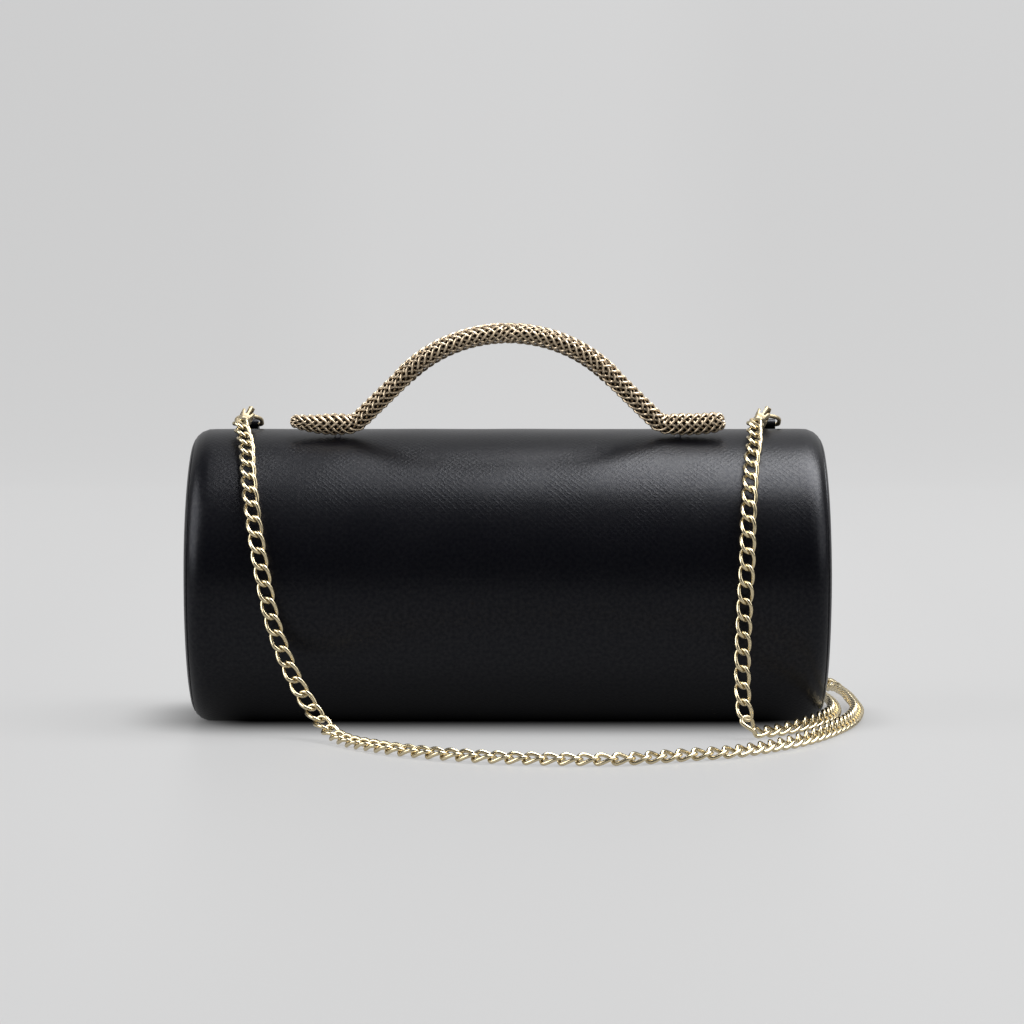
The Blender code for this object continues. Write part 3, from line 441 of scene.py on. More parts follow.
def prism(name, outline, low, high, matrix=None, bevel=0.0):
    """Solid of a flat outline between two heights, with its two rims rounded when a bevel is given.
    """
    count = len(outline)
    points = [(x, y, z) for z in (low, high) for x, y in outline]
    faces = end_faces(2, count)
    faces += [(n, (n + 1) % count, count + (n + 1) % count, count + n) for n in range(count)]
    made = mesh_piece(name, points, faces)
    if bevel:
        shape = bmesh.new()
        shape.from_mesh(made.data)
        rims = [edge for edge in shape.edges
                if any(abs(face.normal.z) > FLAT_NORMAL for face in edge.link_faces)]
        bmesh.ops.bevel(shape, geom=rims, offset=bevel, segments=3, profile=0.5,
                        affect="EDGES", clamp_overlap=True)
        shape.to_mesh(made.data)
        shape.free()
        smooth_shade(made.data)
    if matrix is not None:
        made.data.transform(matrix)
    return made


def block(name, low, high, matrix=None, bevel=0.0):
    """Box between two corners."""
    outline = [(low[0], low[1]), (high[0], low[1]), (high[0], high[1]), (low[0], high[1])]
    return prism(name, outline, low[2], high[2], matrix, bevel)


def round_cutter(name, centre, radius, steps):
    """A long round bar that cuts a hole through a plate."""
    circle = arc(centre, radius, 0, 360, steps)[:-1]
    return prism(name, circle, -CUTTER_REACH, CUTTER_REACH)


# The shell's surface

def barrel_radius(angle, depth):
    """Distance from the barrel's axis to its surface at a depth, with the flat base."""
    down = np.maximum(-np.cos(angle), 0.5)
    curved = BARREL_RADIUS - depth
    based = np.minimum(curved, (AXIS_HEIGHT - depth) / down)
    return np.where(-np.cos(angle) > 0.5, based, curved)


def shell_points(s, run, depth):
    """Points of the shell at s along it, an arc length round it and a depth."""
    angle = run / BARREL_RADIUS
    past = np.abs(s) - STRAIGHT_HALF
    turn = np.clip(past / EDGE_RADIUS, 0, math.pi / 2)
    over = np.clip(past - EDGE_RUN, 0, END_FLAT)
    bend = EDGE_RADIUS - depth
    x = np.where(past > 0, STRAIGHT_HALF + bend * np.sin(turn), np.abs(s)) * np.sign(s)
    low = np.where(past > 0, EDGE_RADIUS - bend * np.cos(turn), depth)
    radius = barrel_radius(angle, low) * (1 - over / END_FLAT)
    return np.stack([x, -radius * np.sin(angle), AXIS_HEIGHT + radius * np.cos(angle)], axis=-1)


def surface_frame(x, angle, depth, forward=0.0):
    """Frame on the barrel: its X along the barrel, Y towards the back, Z outwards."""
    along = Vector((1, 0, 0))
    back = Vector((0, math.cos(angle), math.sin(angle)))
    out = along.cross(back)
    made = Matrix((along, back, out)).transposed().to_4x4()
    spot = Vector((0, 0, AXIS_HEIGHT)) + along * x + out * (BARREL_RADIUS - depth)
    made.translation = spot - back * forward
    return made


def lines(low, high, step, rolled):
    """Grid lines from low to high, with the fine ones that each rolled edge needs."""
    fine = [edge + way * EDGE_ROLL * ROLL_SHARES for edge in rolled for way in (-1, 1)]
    plain = np.linspace(low, high, max(2, int(round((high - low) / step)) + 1))
    away = [n for n in plain if all(abs(n - edge) > 2 * EDGE_ROLL for edge in rolled)]
    every = np.concatenate([np.array(away), [low, high], *fine])
    return np.unique(np.round(every[(every >= low - 1e-9) & (every <= high + 1e-9)], 8))


def rolled_dip(distance):
    """How far a panel's face drops beside its edge."""
    inset = np.clip(EDGE_ROLL - distance, 0, EDGE_ROLL)
    return EDGE_ROLL - np.sqrt(EDGE_ROLL ** 2 - inset ** 2)


def ripple(s, run):
    """Slow unevenness of leather pulled over a board, none at the base."""
    waves = sum(size * np.sin(s * along + run * about + phase)
                for size, along, about, phase in RIPPLE_WAVES)
    base = np.clip((np.cos(run / BARREL_RADIUS) - RIPPLE_LOWEST) / RIPPLE_FADE, 0, 1)
    return RIPPLE * waves * base


def slab_faces(kept, close):
    """Faces of a closed slab over a grid of cells: two for each kept cell, and its walls.

    One that closes round the barrel has its last ring capped."""
    rows, columns = kept.shape
    width = columns if close else columns + 1
    count = (rows + 1) * width
    faces = []
    for i, j in zip(*np.nonzero(kept)):
        i, j = int(i), int(j)
        k = (j + 1) % width
        quad = [i * width + j, i * width + k, (i + 1) * width + k, (i + 1) * width + j]
        faces.append(quad)
        faces.append([n + count for n in reversed(quad)])
        beside = ((i - 1, j), (i, j + 1), (i + 1, j), (i, j - 1))
        for n, (a, b) in enumerate(beside):
            b = b % columns if close else b
            if 0 <= a < rows and 0 <= b < columns and kept[a, b] or close and a == rows:
                continue
            p, q = quad[n], quad[(n + 1) % 4]
            faces.append([p, q, q + count, p + count])
    if close:
        last = list(range(rows * width, count))
        faces += [last, [n + count for n in reversed(last)]]
    return faces


def panel(name, s_lines, run_lines, distance, depth, thickness, kept=None, close=False, uneven=1.0):
    """A leather or cloth panel on the shell, rolled down to its edges by a distance field.

    A closed one goes all round the barrel and on to the middle of its end, where it is capped."""
    s, run = np.meshgrid(s_lines, run_lines, indexing="ij")
    away = distance(s, run)
    left = STRAIGHT_HALF + EDGE_RUN + END_FLAT - np.abs(s)
    calm = np.clip(away / CALM_EDGE, 0, 1) * np.clip(left / END_FLAT, 0, 1)
    outer = shell_points(s, run, depth + rolled_dip(away) - uneven * calm * ripple(s, run))
    inner = shell_points(s, run, depth + thickness + 0 * s)
    points = np.concatenate([outer.reshape(-1, 3), inner.reshape(-1, 3)])
    if close:
        turn = run / BARREL_RADIUS
        flat = np.stack([left * np.sin(turn), left * np.cos(turn), 0 * s], axis=-1)
    else:
        flat = np.stack([s, run, 0 * s], axis=-1)
    grain = np.tile(flat.reshape(-1, 3), (2, 1))
    if kept is None:
        kept = np.ones((len(s_lines) - 1, len(run_lines) - (0 if close else 1)), bool)
    return mesh_piece(name, points, slab_faces(kept, close), grain)


def within(low_s, high_s, low_run, high_run):
    """Distance to the nearest side of a rectangle on the shell."""
    def distance(s, run):
        from_ends = np.minimum(s - low_s, high_s - s)
        return np.minimum(from_ends, np.minimum(run - low_run, high_run - run))
    return distance


def notched(name, side, s_ends, run_ends, notch_s, notch_half, depth, thickness, uneven=1.0):
    """A panel past one end of the mouth, with the zip's slot cut into its inner side."""
    s_lines = lines(*s_ends, NOTCHED_S_STEP, (*s_ends, notch_s))
    run_lines = lines(*run_ends, RUN_STEP, (*run_ends, ZIP_RUN - notch_half, ZIP_RUN + notch_half))
    inside = within(*s_ends, *run_ends)

    def distance(s, run):
        past = np.maximum(np.abs(s) - notch_s, 0)
        beside = np.maximum(np.abs(run - ZIP_RUN) - notch_half, 0)
        return np.minimum(inside(np.abs(s), run), np.hypot(past, beside))

    mid_s = (s_lines[1:] + s_lines[:-1]) / 2
    mid_run = (run_lines[1:] + run_lines[:-1]) / 2
    kept = (mid_s[:, None] > notch_s) | (np.abs(mid_run[None, :] - ZIP_RUN) > notch_half)
    return panel(name, side * s_lines, run_lines, distance, depth, thickness, kept, uneven=uneven)


def strip(name, s_ends, run_ends, depth, thickness, run_step=RUN_STEP, uneven=1.0):
    """A plain rectangular panel on the shell between two pairs of ends, all four edges rolled."""
    s_ends, run_ends = sorted(s_ends), sorted(run_ends)
    s_lines = lines(*s_ends, STRIP_S_STEP, s_ends)
    run_lines = lines(*run_ends, run_step, run_ends)
    inside = within(*s_ends, *run_ends)
    return panel(name, s_lines, run_lines, inside, depth, thickness, uneven=uneven)


# Chain strap

def ring_frame(side):
    """Frame at the middle of a D-ring's bar: Y towards the bow, Z out of the ring's plane."""
    bar_height = GAP + TAB_LEATHER + GAP + RING_WIRE
    made = surface_frame(side * TAB_X, TAB_ANGLE, -bar_height, RING_BAR_FORWARD)
    return made @ Matrix.Rotation(math.pi, 4, "Z") @ Matrix.Rotation(-RING_DROOP, 4, "X")


def clasp_frame(side):
    """Frame of a clasp: X from its hook to its eye, Y in its plane, Z across its plate."""
    yaw, roll = CLASP_YAW[side], CLASP_ROLL[side]
    reach = RING_ARM + RING_HALF_WIDTH * math.cos(yaw)
    wire = ring_frame(side) @ Vector((-RING_HALF_WIDTH * math.sin(yaw), reach, 0))
    lie = surface_frame(0, CLASP_PITCH_ANGLE, 0).to_3x3()
    along = lie @ Vector((math.sin(yaw), -math.cos(yaw), 0))
    across = lie @ Vector((math.cos(yaw), math.sin(yaw), 0))
    out = lie @ Vector((0, 0, 1))
    in_plane = out * math.sin(roll) + across * math.cos(roll)
    plate = along.cross(in_plane)
    made = Matrix((along, in_plane, plate)).transposed().to_4x4()
    made.translation = wire + along * (HOOK_BACK + CLASP_INNER - RING_WIRE - HOOK_PLAY)
    return made


def chain_start(side, beyond):
    """Point on a clasp's line at a distance past the far side of its jump ring."""
    reach = JUMP_CENTRE + JUMP_RADIUS + JUMP_WIRE + GAP
    return clasp_frame(side) @ Vector((reach + beyond, 0, 0))


def over_barrel(x, angle_degrees):
    """Point of the chain where it lies on the barrel."""
    angle = math.radians(angle_degrees)
    radius = BARREL_RADIUS + CHAIN_RADIUS + CHAIN_CLEARANCE
    return Vector((x, -radius * math.sin(angle), AXIS_HEIGHT + radius * math.cos(angle)))


def chain_route():
    """The strap's route: left clasp, down the front, round the right end, behind and back."""
    points = [chain_start(-1, 0), chain_start(-1, CHAIN_END)]
    points += [over_barrel(x, angle) for x, angle in DOWN_THE_FRONT]
    lying = [(x, y, CHAIN_Z) for x, y in ON_THE_FLOOR]
    points += [Vector(point) for point in (*LANDING, *lying, *TAKE_OFF)]
    points += [over_barrel(x, angle) for x, angle in UP_THE_FRONT]
    points += [chain_start(1, CHAIN_END), chain_start(1, 0)]
    return np.array([tuple(point) for point in points])


def smooth(points):
    """Dense points on a smooth curve through the given ones."""
    t = (np.arange(ROUTE_STEPS) / ROUTE_STEPS)[:, None]
    dense = []
    for n in range(len(points) - 1):
        before, after = points[max(n - 1, 0)], points[min(n + 2, len(points) - 1)]
        here, there = points[n], points[n + 1]
        dense.append(0.5 * (2 * here + (there - before) * t
                            + (2 * before - 5 * here + 4 * there - after) * t ** 2
                            + (3 * here - before - 3 * there + after) * t ** 3))
    return np.concatenate([*dense, points[-1:]])


def ease(value):
    """Smooth step between 0 and 1."""
    value = np.clip(value, 0, 1)
    return value * value * (3 - 2 * value)


def lengths(line):
    """Length along a line up to each of its points."""
    return np.concatenate([[0], np.cumsum(np.linalg.norm(np.diff(line, axis=0), axis=1))])


def chain_link():
    """One link: a round wire round a slanted oval, twisted so that it lies flat between others."""
    turns = np.linspace(0, math.tau, 36, endpoint=False)
    ahead, aside = np.cos(turns), np.sin(turns)
    ahead = LINK_HALF_LENGTH * np.sign(ahead) * np.abs(ahead) ** LINK_SQUARE
    aside = LINK_HALF_WIDTH * np.sign(aside) * np.abs(aside) ** LINK_SQUARE
    twist = -LINK_TWIST * np.sin(2 * turns)
    wire = np.stack([ahead + LINK_SLANT * aside, aside, twist], axis=1)
    tangent = unit(np.roll(wire, -1, axis=0) - np.roll(wire, 1, axis=0))
    out = unit(wire * (1, 1, 0))
    out = unit(out - tangent * (out * tangent).sum(axis=1, keepdims=True))
    return tube(wire, out, np.cross(tangent, out), LINK_WIRE, LINK_WIRE, 10, close=True)


def link_normals(places, along):
    """Which way each link faces: off the barrel, or on the floor up and leaning to the front."""
    off_barrel = unit(places * (0, 1, 1) - (0, 0, AXIS_HEIGHT))
    sideways = unit(np.cross(along, (0, 0, 1)))
    lean = np.tanh(LEAN_SHARPNESS * (sideways * LEAN_TOWARDS).sum(axis=1, keepdims=True))
    at_end = ease((places[:, :1] - END_LEAN_START) / END_LEAN_RUN)
    lean = lean * (CHAIN_TILT + END_TILT * at_end)
    lying = np.sin(lean) * sideways + np.cos(lean) * np.array([0, 0, 1.0])
    lifted = ease((places[:, 2:] - FLAT_BELOW) / LIFT_RUN)
    normal = lifted * off_barrel + (1 - lifted) * lying
    return unit(normal - along * (normal * along).sum(axis=1, keepdims=True))


def make_chain():
    """The curb chain: links hooked through each other along the route."""
    line = smooth(chain_route())
    leaning = LINK_LEAN_SHARE * LINK_HALF_WIDTH * math.sin(CHAIN_TILT)
    resting = LINK_TWIST + LINK_WIRE + leaning + FLOOR_CLEARANCE
    line[:, 2] -= (CHAIN_Z - resting) * ease((SETTLE_FROM - line[:, 2]) / SETTLE_RUN)
    run = lengths(line)
    length = run[-1]

    def at(distance):
        return np.stack([np.interp(distance, run, line[:, k]) for k in range(3)], axis=-1)

    first = LINK_HALF_LENGTH + LINK_WIRE - JUMP_WIRE * 2 - LINK_WIRE * 2 - GAP
    count = int(round((length - 2 * first) / LINK_PITCH)) + 1
    centres = np.linspace(first, length - first, count)
    places = at(centres)
    along = unit(at(centres + LINK_PITCH / 2) - at(centres - LINK_PITCH / 2))
    normal = link_normals(places, along)
    points, faces = chain_link()
    link_points = len(points)
    axes = np.stack([along, np.cross(normal, along), normal], axis=1)
    points, faces = tiled(points, faces, places, axes)
    low = points[:, 2].reshape(-1, link_points).min(axis=1)
    points[:, 2] += np.repeat(np.maximum(0, LINK_CLEARANCE - low), link_points)
    piece = mesh_piece("chain_links", points, faces)
    dress(piece, "chain", "root", "strap_chain")
    parts = ("_clasp_body", "_clasp_lever", "_jump_link", "_lever_pin")
    return piece, line[::8], length, [word + part for _, word in SIDES for part in parts]


# Shell

def make_shell():
    """Main wrap, end caps and lining."""
    back = (BACK_SEAM + math.tau) * BARREL_RADIUS
    main = strip("main_wrap", (-SEAM_S, SEAM_S), (FRONT_RUN, back), 0, LEATHER)
    dress(main, "leather", "root", "main_panel")
    half = STRAIGHT_HALF - GAP
    cloth = strip("lining_wrap", (-half, half), (FRONT_RUN + 2 * GAP, back - 2 * GAP),
                  LINING_DEPTH, LINING, uneven=0)
    dress(cloth, "lining", "root", "lining")
    for side, word in SIDES:
        cap = end_disc(word + "_end_cap", side, SEAM_S + GAP, 0, LEATHER)
        dress(cap, "leather", "root", word + "_end_panel")
        cloth = end_disc(word + "_end_cloth", side, STRAIGHT_HALF, LINING_DEPTH, LINING)
        dress(cloth, "lining", "root", word + "_end_lining")


def end_disc(name, side, start, depth, thickness):
    """A round end: its rolled edge at the seam, the rounded rim and the flat face."""
    middle = STRAIGHT_HALF + EDGE_RUN + END_FLAT
    s_lines = lines(start, middle - CAP_RADIUS, DISC_S_STEP, (start,))
    run_lines = np.linspace(0, math.tau * BARREL_RADIUS, DISC_SPOKES + 1)[:-1]

    def distance(s, run):
        return np.abs(s) - start

    return panel(name, side * s_lines, run_lines, distance, depth, thickness, close=True,
                 uneven=DISC_UNEVEN)


def make_seam_backing():
    """Thin dark strips behind the seams, with two more along the mouth's seams."""
    half, around = SEAM_BACKING, math.pi * BARREL_RADIUS - BACKING_END
    seams = (("front", FRONT_RUN, -1), ("back", BACK_RUN, 1))
    shape = {"depth": BACKING_DEPTH, "thickness": BACKING_THICKNESS, "uneven": 0}
    for side, word in SIDES:
        ends = (side * (LIP_HALF_LENGTH + GAP), side * SEAM_S)
        for place, middle, _ in seams:
            piece = strip(f"{word}_{place}_seam", ends, (middle - half, middle + half), **shape)
            dress(piece, "tape", "root")
        ends = (side * (SEAM_S - half), side * (SEAM_S + half))
        ring = strip(word + "_end_seam", ends, (-around, around), **shape)
        dress(ring, "tape", "root")
    for word, middle, way in seams:
        fold = strip(word + "_fold", (-LIP_HALF_LENGTH, LIP_HALF_LENGTH),
                     (middle - half, middle + half), run_step=FOLD_STEP, **shape)
        dress(fold, "tape", None)
        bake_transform(fold)


def make_mouth():
    """The facings of the mouth, their tapes, and the leather past both ends of the mouth."""
    reach = LIP_HALF_LENGTH
    slot, tape_edge = ZIP_SLOT_HALF, ROW_EDGE + GAP
    for word, side, seam in (("front", 1, FRONT_RUN), ("back", -1, BACK_RUN)):
        ends = (ZIP_RUN + side * slot, seam - side * GAP)
        facing = strip(word + "_facing", (-reach, reach), ends, 0, LEATHER)
        dress(facing, "leather", word + "_lip", word + "_lip")
        ends = (ZIP_RUN + side * tape_edge, seam - side * TAPE_TUCK)
        tape = strip(word + "_tape", (-reach, reach), ends, LEATHER + GAP, TAPE, uneven=0)
        dress(tape, "tape", word + "_lip", word + "_zip_tape")
    start, half = reach + GAP, tape_edge + TAPE_TUCK
    for side, word in SIDES:
        gusset = notched(word + "_gusset_leather", side, (start, SEAM_S),
                         (BACK_RUN + GAP, FRONT_RUN - GAP), ROW_END + 2 * GAP, slot, 0, LEATHER)
        dress(gusset, "leather", "root", word + "_gusset")
        tape = notched(word + "_tape_end", side, (start, ROW_END + TAPE_TUCK),
                       (ZIP_RUN - half, ZIP_RUN + half), ROW_END + GAP, tape_edge,
                       LEATHER + GAP, TAPE, uneven=0)
        dress(tape, "tape", "root", word + "_end_tape")


def capsule(half_length, radius):
    """A stitch: a short round bar along X with round ends, slightly bowed."""
    share = np.array([-1, -0.93, -0.75, -0.35, 0, 0.35, 0.75, 0.93, 1])
    swell = radius * (np.sqrt(np.clip(1 - share ** 6, 0, 1)) * 0.98 + 0.02)
    path = np.stack([half_length * share, 0 * share, -0.35 * radius * share ** 2], axis=1)
    side = np.broadcast_to([0, 1.0, 0], path.shape)
    up = np.broadcast_to([0, 0, 1.0], path.shape)
    return tube(path, side, up, swell, swell, 8)


def stitch_row(name, s_places, run, body):
    """A row of stitches along the barrel, each sunk by half."""
    points, faces = capsule(STITCH_LENGTH / 2, STITCH_RADIUS)
    places = shell_points(s_places, run + 0 * s_places, STITCH_DEPTH + 0 * s_places)
    up, down = math.cos(run / BARREL_RADIUS), math.sin(run / BARREL_RADIUS)
    axes = np.array([[1, 0, 0], [0, up, down], [0, -down, up]])
    axes = np.broadcast_to(axes, (len(s_places), 3, 3))
    points, faces = tiled(points, faces, places, axes)
    dress(mesh_piece(name, points, faces), "thread", body)


def make_stitches():
    """Top-stitching beside the seams of the mouth and along the zip."""
    near = LIP_HALF_LENGTH - STITCH_PITCH
    along = np.arange(-near, near, STITCH_PITCH)
    start = LIP_HALF_LENGTH + STITCH_PITCH / 2 + GAP
    beyond = np.arange(start, STRAIGHT_HALF - STITCH_STOP, STITCH_PITCH)
    for word, seam, way in (("front", FRONT_RUN, 1), ("back", BACK_RUN, -1)):
        place = seam - way * STITCH_INSET
        stitch_row(word + "_seam_stitches", along, place, word + "_lip")
        for side, end in SIDES:
            stitch_row(f"{end}_{word}_end_stitches", side * beyond, place, "root")
    for word, way in (("front", 1), ("back", -1)):
        place = ZIP_RUN + way * (ZIP_SLOT_HALF + ZIP_STITCH_INSET)
        stitch_row(word + "_zip_stitches", along, place, word + "_lip")


# Zip

def zip_frame(x):
    """Frame at the zip's mid-plane: X along the zip, Y towards the back, Z outwards."""
    return surface_frame(x, ZIP_ANGLE, ROW_DEPTH)


def tooth_shape():
    """One tooth: its nose past the zip's middle, its base on the tape, both faces bevelled."""
    base, nose = TOOTH_BASE, TOOTH_NOSE
    half = [(base, -ROW_EDGE), (base, -0.0013), (nose, -0.0008), (nose, 0.00015)]
    outline = [(-base, -ROW_EDGE), *half, *arc((0, 0.00015), nose, 25, 155, 4)]
    outline += [(-x, y) for x, y in half[:0:-1]]
    ring = np.array(outline)
    centre = ring.mean(axis=0)
    levels = [(-z, size) for z, size in TOOTH_RIMS] + list(TOOTH_RIMS[::-1])
    points = [(*(centre + (spot - centre) * size), z) for z, size in levels for spot in ring]
    faces = grid_faces(len(levels), len(ring)) + end_faces(len(levels), len(ring))
    return np.array(points), faces


def tooth_rows(places, ways):
    """Teeth at places along the zip, each facing back or front."""
    points, faces = tooth_shape()
    axes = np.array([[[way, 0, 0], [0, way, 0], [0, 0, 1]] for way in ways], float)
    spots = np.stack([places, 0 * places, 0 * places], axis=1)
    return tiled(points, faces, spots, axes)


def make_teeth():
    """Interlocked teeth: one row on each facing, and the fixed rows and stops past the mouth."""
    matrix = zip_frame(0)
    near = LIP_HALF_LENGTH - TOOTH_PITCH / 2
    row = np.arange(-near, LIP_HALF_LENGTH - TOOTH_PITCH / 4, TOOTH_PITCH)
    for word, way, shift in (("front", 1, 0.0), ("back", -1, TOOTH_PITCH / 2)):
        places = row[:-1] + shift
        points, faces = tooth_rows(places, [way] * len(places))
        teeth = mesh_piece(word + "_teeth", moved(points, matrix), faces)
        dress(teeth, "gold", word + "_lip", word + "_tooth_row")
    stop, half = ROW_END - STOP_LENGTH, ROW_HEIGHT / 2
    for side, word in SIDES:
        spots = np.arange(LIP_HALF_LENGTH + END_TEETH_START, stop - END_TEETH_STOP,
                          TOOTH_PITCH / 2)
        ways = [1 if n % 2 else -1 for n in range(len(spots))]
        points, faces = tooth_rows(side * spots, ways)
        teeth = mesh_piece(word + "_end_teeth", moved(points, matrix), faces)
        dress(teeth, "gold", "root", word + "_zip_end")
        start, end = sorted((side * stop, side * ROW_END))
        bar = block(word + "_stop", (start, -ROW_EDGE, -half), (end, ROW_EDGE, half), matrix,
                    bevel=0.0004)
        dress(bar, "gold", "root", word + "_zip_end")


def make_slider():
    """The slider's two plates and side walls, and the bridge that holds its pull."""
    half, top, wide, corner = SLIDER_LENGTH / 2, SLIDER_TOP, SLIDER_HALF_WIDTH, SLIDER_CORNER
    outline = [(half - corner, -wide)] + arc((half - corner, -wide + corner), corner, -80, 0, 5)
    outline += arc((half - corner, wide - corner), corner, 0, 80, 5) + [(half - corner, wide)]
    outline += [(-half * 0.3, wide), (-half * 0.62, wide * 0.93)]
    outline += arc((-half * 0.62, 0), half * 0.38, 100, 260, 8)
    outline += [(-half * 0.62, -wide * 0.93), (-half * 0.3, -wide)]
    body = prism("slider_body", outline, -top, top, bevel=0.00035)
    inner, channel, tape_half = ROW_EDGE + GAP, ROW_HEIGHT / 2 + GAP, TAPE / 2 + GAP
    reach = CUTTER_REACH
    tunnel = block("tunnel", (-reach, -inner, -channel), (reach, inner, channel))
    slit = block("slit", (-reach, -reach, -tape_half), (reach, reach, tape_half))
    cut(body, tunnel, slit)
    end, foot, crown = BRIDGE_HALF_LENGTH, top - BRIDGE_SUNK, top + BRIDGE_HEIGHT
    outer, inner = BRIDGE_CORNER, BRIDGE_INNER_CORNER
    inside, under = end - BRIDGE_LEG, crown - BRIDGE_LEG
    outline = [(-end, foot)] + arc((-end + outer, crown - outer), outer, 180, 90, 5)
    outline += arc((end - outer, crown - outer), outer, 90, 0, 5) + [(end, foot), (inside, foot)]
    outline += arc((inside - inner, under - inner), inner, 0, 90, 4)
    outline += arc((inner - inside, under - inner), inner, 90, 180, 4) + [(-inside, foot)]
    upright = Matrix.Rotation(math.pi / 2, 4, "X")
    wide = BRIDGE_HALF_WIDTH
    bridge = prism("slider_bridge", outline, -wide, wide, upright, bevel=0.00025)
    cut(body, bridge, operation="UNION")
    body.data.transform(zip_frame(SLIDER_PARK))
    dress(body, "gold", "slider", "zip_slider")


def make_pull():
    """The pull: a tab with a window round the bridge and a hole near its round end."""
    half, bar = PULL_HALF_WIDTH, PULL_THICKNESS / 2
    window, window_half = BRIDGE_HALF_LENGTH + PULL_END_PLAY, BRIDGE_HALF_WIDTH + PULL_PLAY
    rail, shoulder = window_half + PULL_RAIL, window + PULL_SHOULDER
    round_end = (-PULL_LENGTH + half, 0)
    outline = [(bar, -rail), (bar, rail), (-window, rail), (-shoulder, half)]
    outline += arc(round_end, half, 90, 270, 20)
    outline += [(-shoulder, -half), (-window, -rail)]
    pull = prism("pull_tab", outline, -bar, bar, bevel=0.00022)
    hole = block("pull_window", (-window, -window_half, -CUTTER_REACH),
                 (-bar, window_half, CUTTER_REACH))
    cut(pull, hole, round_cutter("pull_hole", round_end, PULL_HOLE, 24))
    height = SLIDER_TOP + (BRIDGE_HEIGHT - BRIDGE_LEG) / 2
    tilt = Matrix.Rotation(-PULL_TILT, 4, "Y")
    pull.data.transform(zip_frame(SLIDER_PARK) @ Matrix.Translation((0, 0, height)) @ tilt)
    dress(pull, "gold", "pull", "zip_pull")


# Handle

def handle_height(x):
    """Height of the handle's centre line over its feet."""
    x = np.abs(x)
    before_foot = FOOT_START - x
    lifted = np.clip((x - HANDLE_HALF_SPAN + LIFT_LENGTH) / LIFT_LENGTH, 0, None)
    fillet = ARCH_FILLET - np.sqrt(np.clip(ARCH_FILLET ** 2 - before_foot ** 2, 0, None))
    crown = np.sqrt(ARCH_RADIUS ** 2 - np.minimum(x, ARCH_KNEE) ** 2) - ARCH_RADIUS + HANDLE_RISE
    leg = crown - np.maximum(x - ARCH_KNEE, 0) * math.tan(LEG_SLOPE)
    arch = np.where(before_foot < FILLET_RUN, fillet, leg)
    return np.where(before_foot <= 0, TIP_LIFT * lifted ** 2, arch)


def handle_radius(x):
    """Outer radius of the sleeve: fuller in the feet, drawn in towards the left tip, round ends."""
    far = np.abs(x)
    share = np.clip((far - FOOT_START + SWELL_LEAD) / FOOT_SWELL, 0, 1)
    radius = TUBE_RADIUS + (FOOT_RADIUS - TUBE_RADIUS) * ease(share)
    drawn = np.clip((far - FOOT_START - TAPER_LEAD) / (FOOT_LENGTH - TAPER_LEAD), 0, 1)
    radius = radius - np.where(x < 0, LEFT_TAPER, RIGHT_TAPER) * drawn ** 1.3
    round_end = np.where(x < 0, LEFT_ROUND, RIGHT_ROUND)
    past = np.clip((far - HANDLE_HALF_SPAN + round_end) / round_end, 0, 0.985)
    return radius * np.sqrt(1 - past ** 2)


def make_handle():
    """The braided sleeve: round wires over and under each other, and under them a near-black layer
    of painted shade for the gaps between the wires.
    """
    reach = HANDLE_HALF_SPAN - BRAID_END
    x = np.linspace(-reach, reach, 4001)
    run = lengths(np.stack([x, 0 * x, handle_height(x)], axis=1))
    steps = np.arange(0, run[-1], BRAID_STEP)
    x = np.interp(steps, run, x)
    line = np.stack([x, 0 * x, handle_height(x)], axis=1)
    along = unit(np.gradient(line, axis=0))
    back = np.broadcast_to([0, 1.0, 0], line.shape)
    up = np.cross(along, back)
    outer = handle_radius(x)
    share = np.minimum(outer / TUBE_RADIUS, 1)
    slim = np.clip(share, 0.3, 1)
    matrix = surface_frame(0, HANDLE_ANGLE, -(FOOT_RADIUS + GAP))
    middle = outer - (STRAND_HIGH + STRAND_LIFT) * share
    parts = []
    turns = (steps - run[-1] / 2) / STRAND_STEP
    twist = math.tau / STRAND_COUNT * ease((x + TWIST_HALF) / (2 * TWIST_HALF))
    lean = 2 * ease((np.abs(x) - ARCH_KNEE + KNEE_HALF) / (2 * KNEE_HALF)) - 1
    bias = STRAND_BIAS * lean * (2 * ease((x + CROWN_HALF) / (2 * CROWN_HALF)) - 1)
    for way in (1, -1):
        for n in range(STRAND_COUNT):
            angle = math.tau * (n + way * turns) / STRAND_COUNT + twist
            over = STRAND_CREST * np.cos(math.pi / 2 * (2 * n + way * 2 * turns - 0.5))
            lift = STRAND_LIFT * np.clip(over * way + way * bias, -1, 1) * share
            out = np.cos(angle)[:, None] * up + np.sin(angle)[:, None] * back
            centre = line + (middle + lift)[:, None] * out
            tangent = unit(np.gradient(centre, axis=0))
            side = unit(np.cross(out, tangent))
            rise = unit(np.cross(tangent, side))
            parts.append(tube(centre, side, rise, STRAND_WIDE * slim, STRAND_HIGH * slim, 8))
    points, faces = joined(parts)
    braid = mesh_piece("handle_braid", moved(points, matrix), faces)
    dress(braid, "braid", "root", "handle_sleeve")
    # Painted shade: a near-black tube under the wires darkens the gaps in the braid
    inner = outer - UNDER_DEPTH * share
    points, faces = tube(line[::5], back[::5], up[::5], inner[::5], inner[::5], 24)
    under = mesh_piece("handle_shade_layer", moved(points, matrix), faces)
    dress(under, "under", "root", "handle_sleeve")


# D-rings, tabs and clasps

def strip_outline(path, half):
    """Outline of a strip of even thickness along a flat path."""
    path = np.array(path)
    tangent = unit(np.gradient(path, axis=0))
    normal = np.stack([-tangent[:, 1], tangent[:, 0]], axis=1)
    return [tuple(p) for p in np.concatenate([path + half * normal, (path - half * normal)[::-1]])]


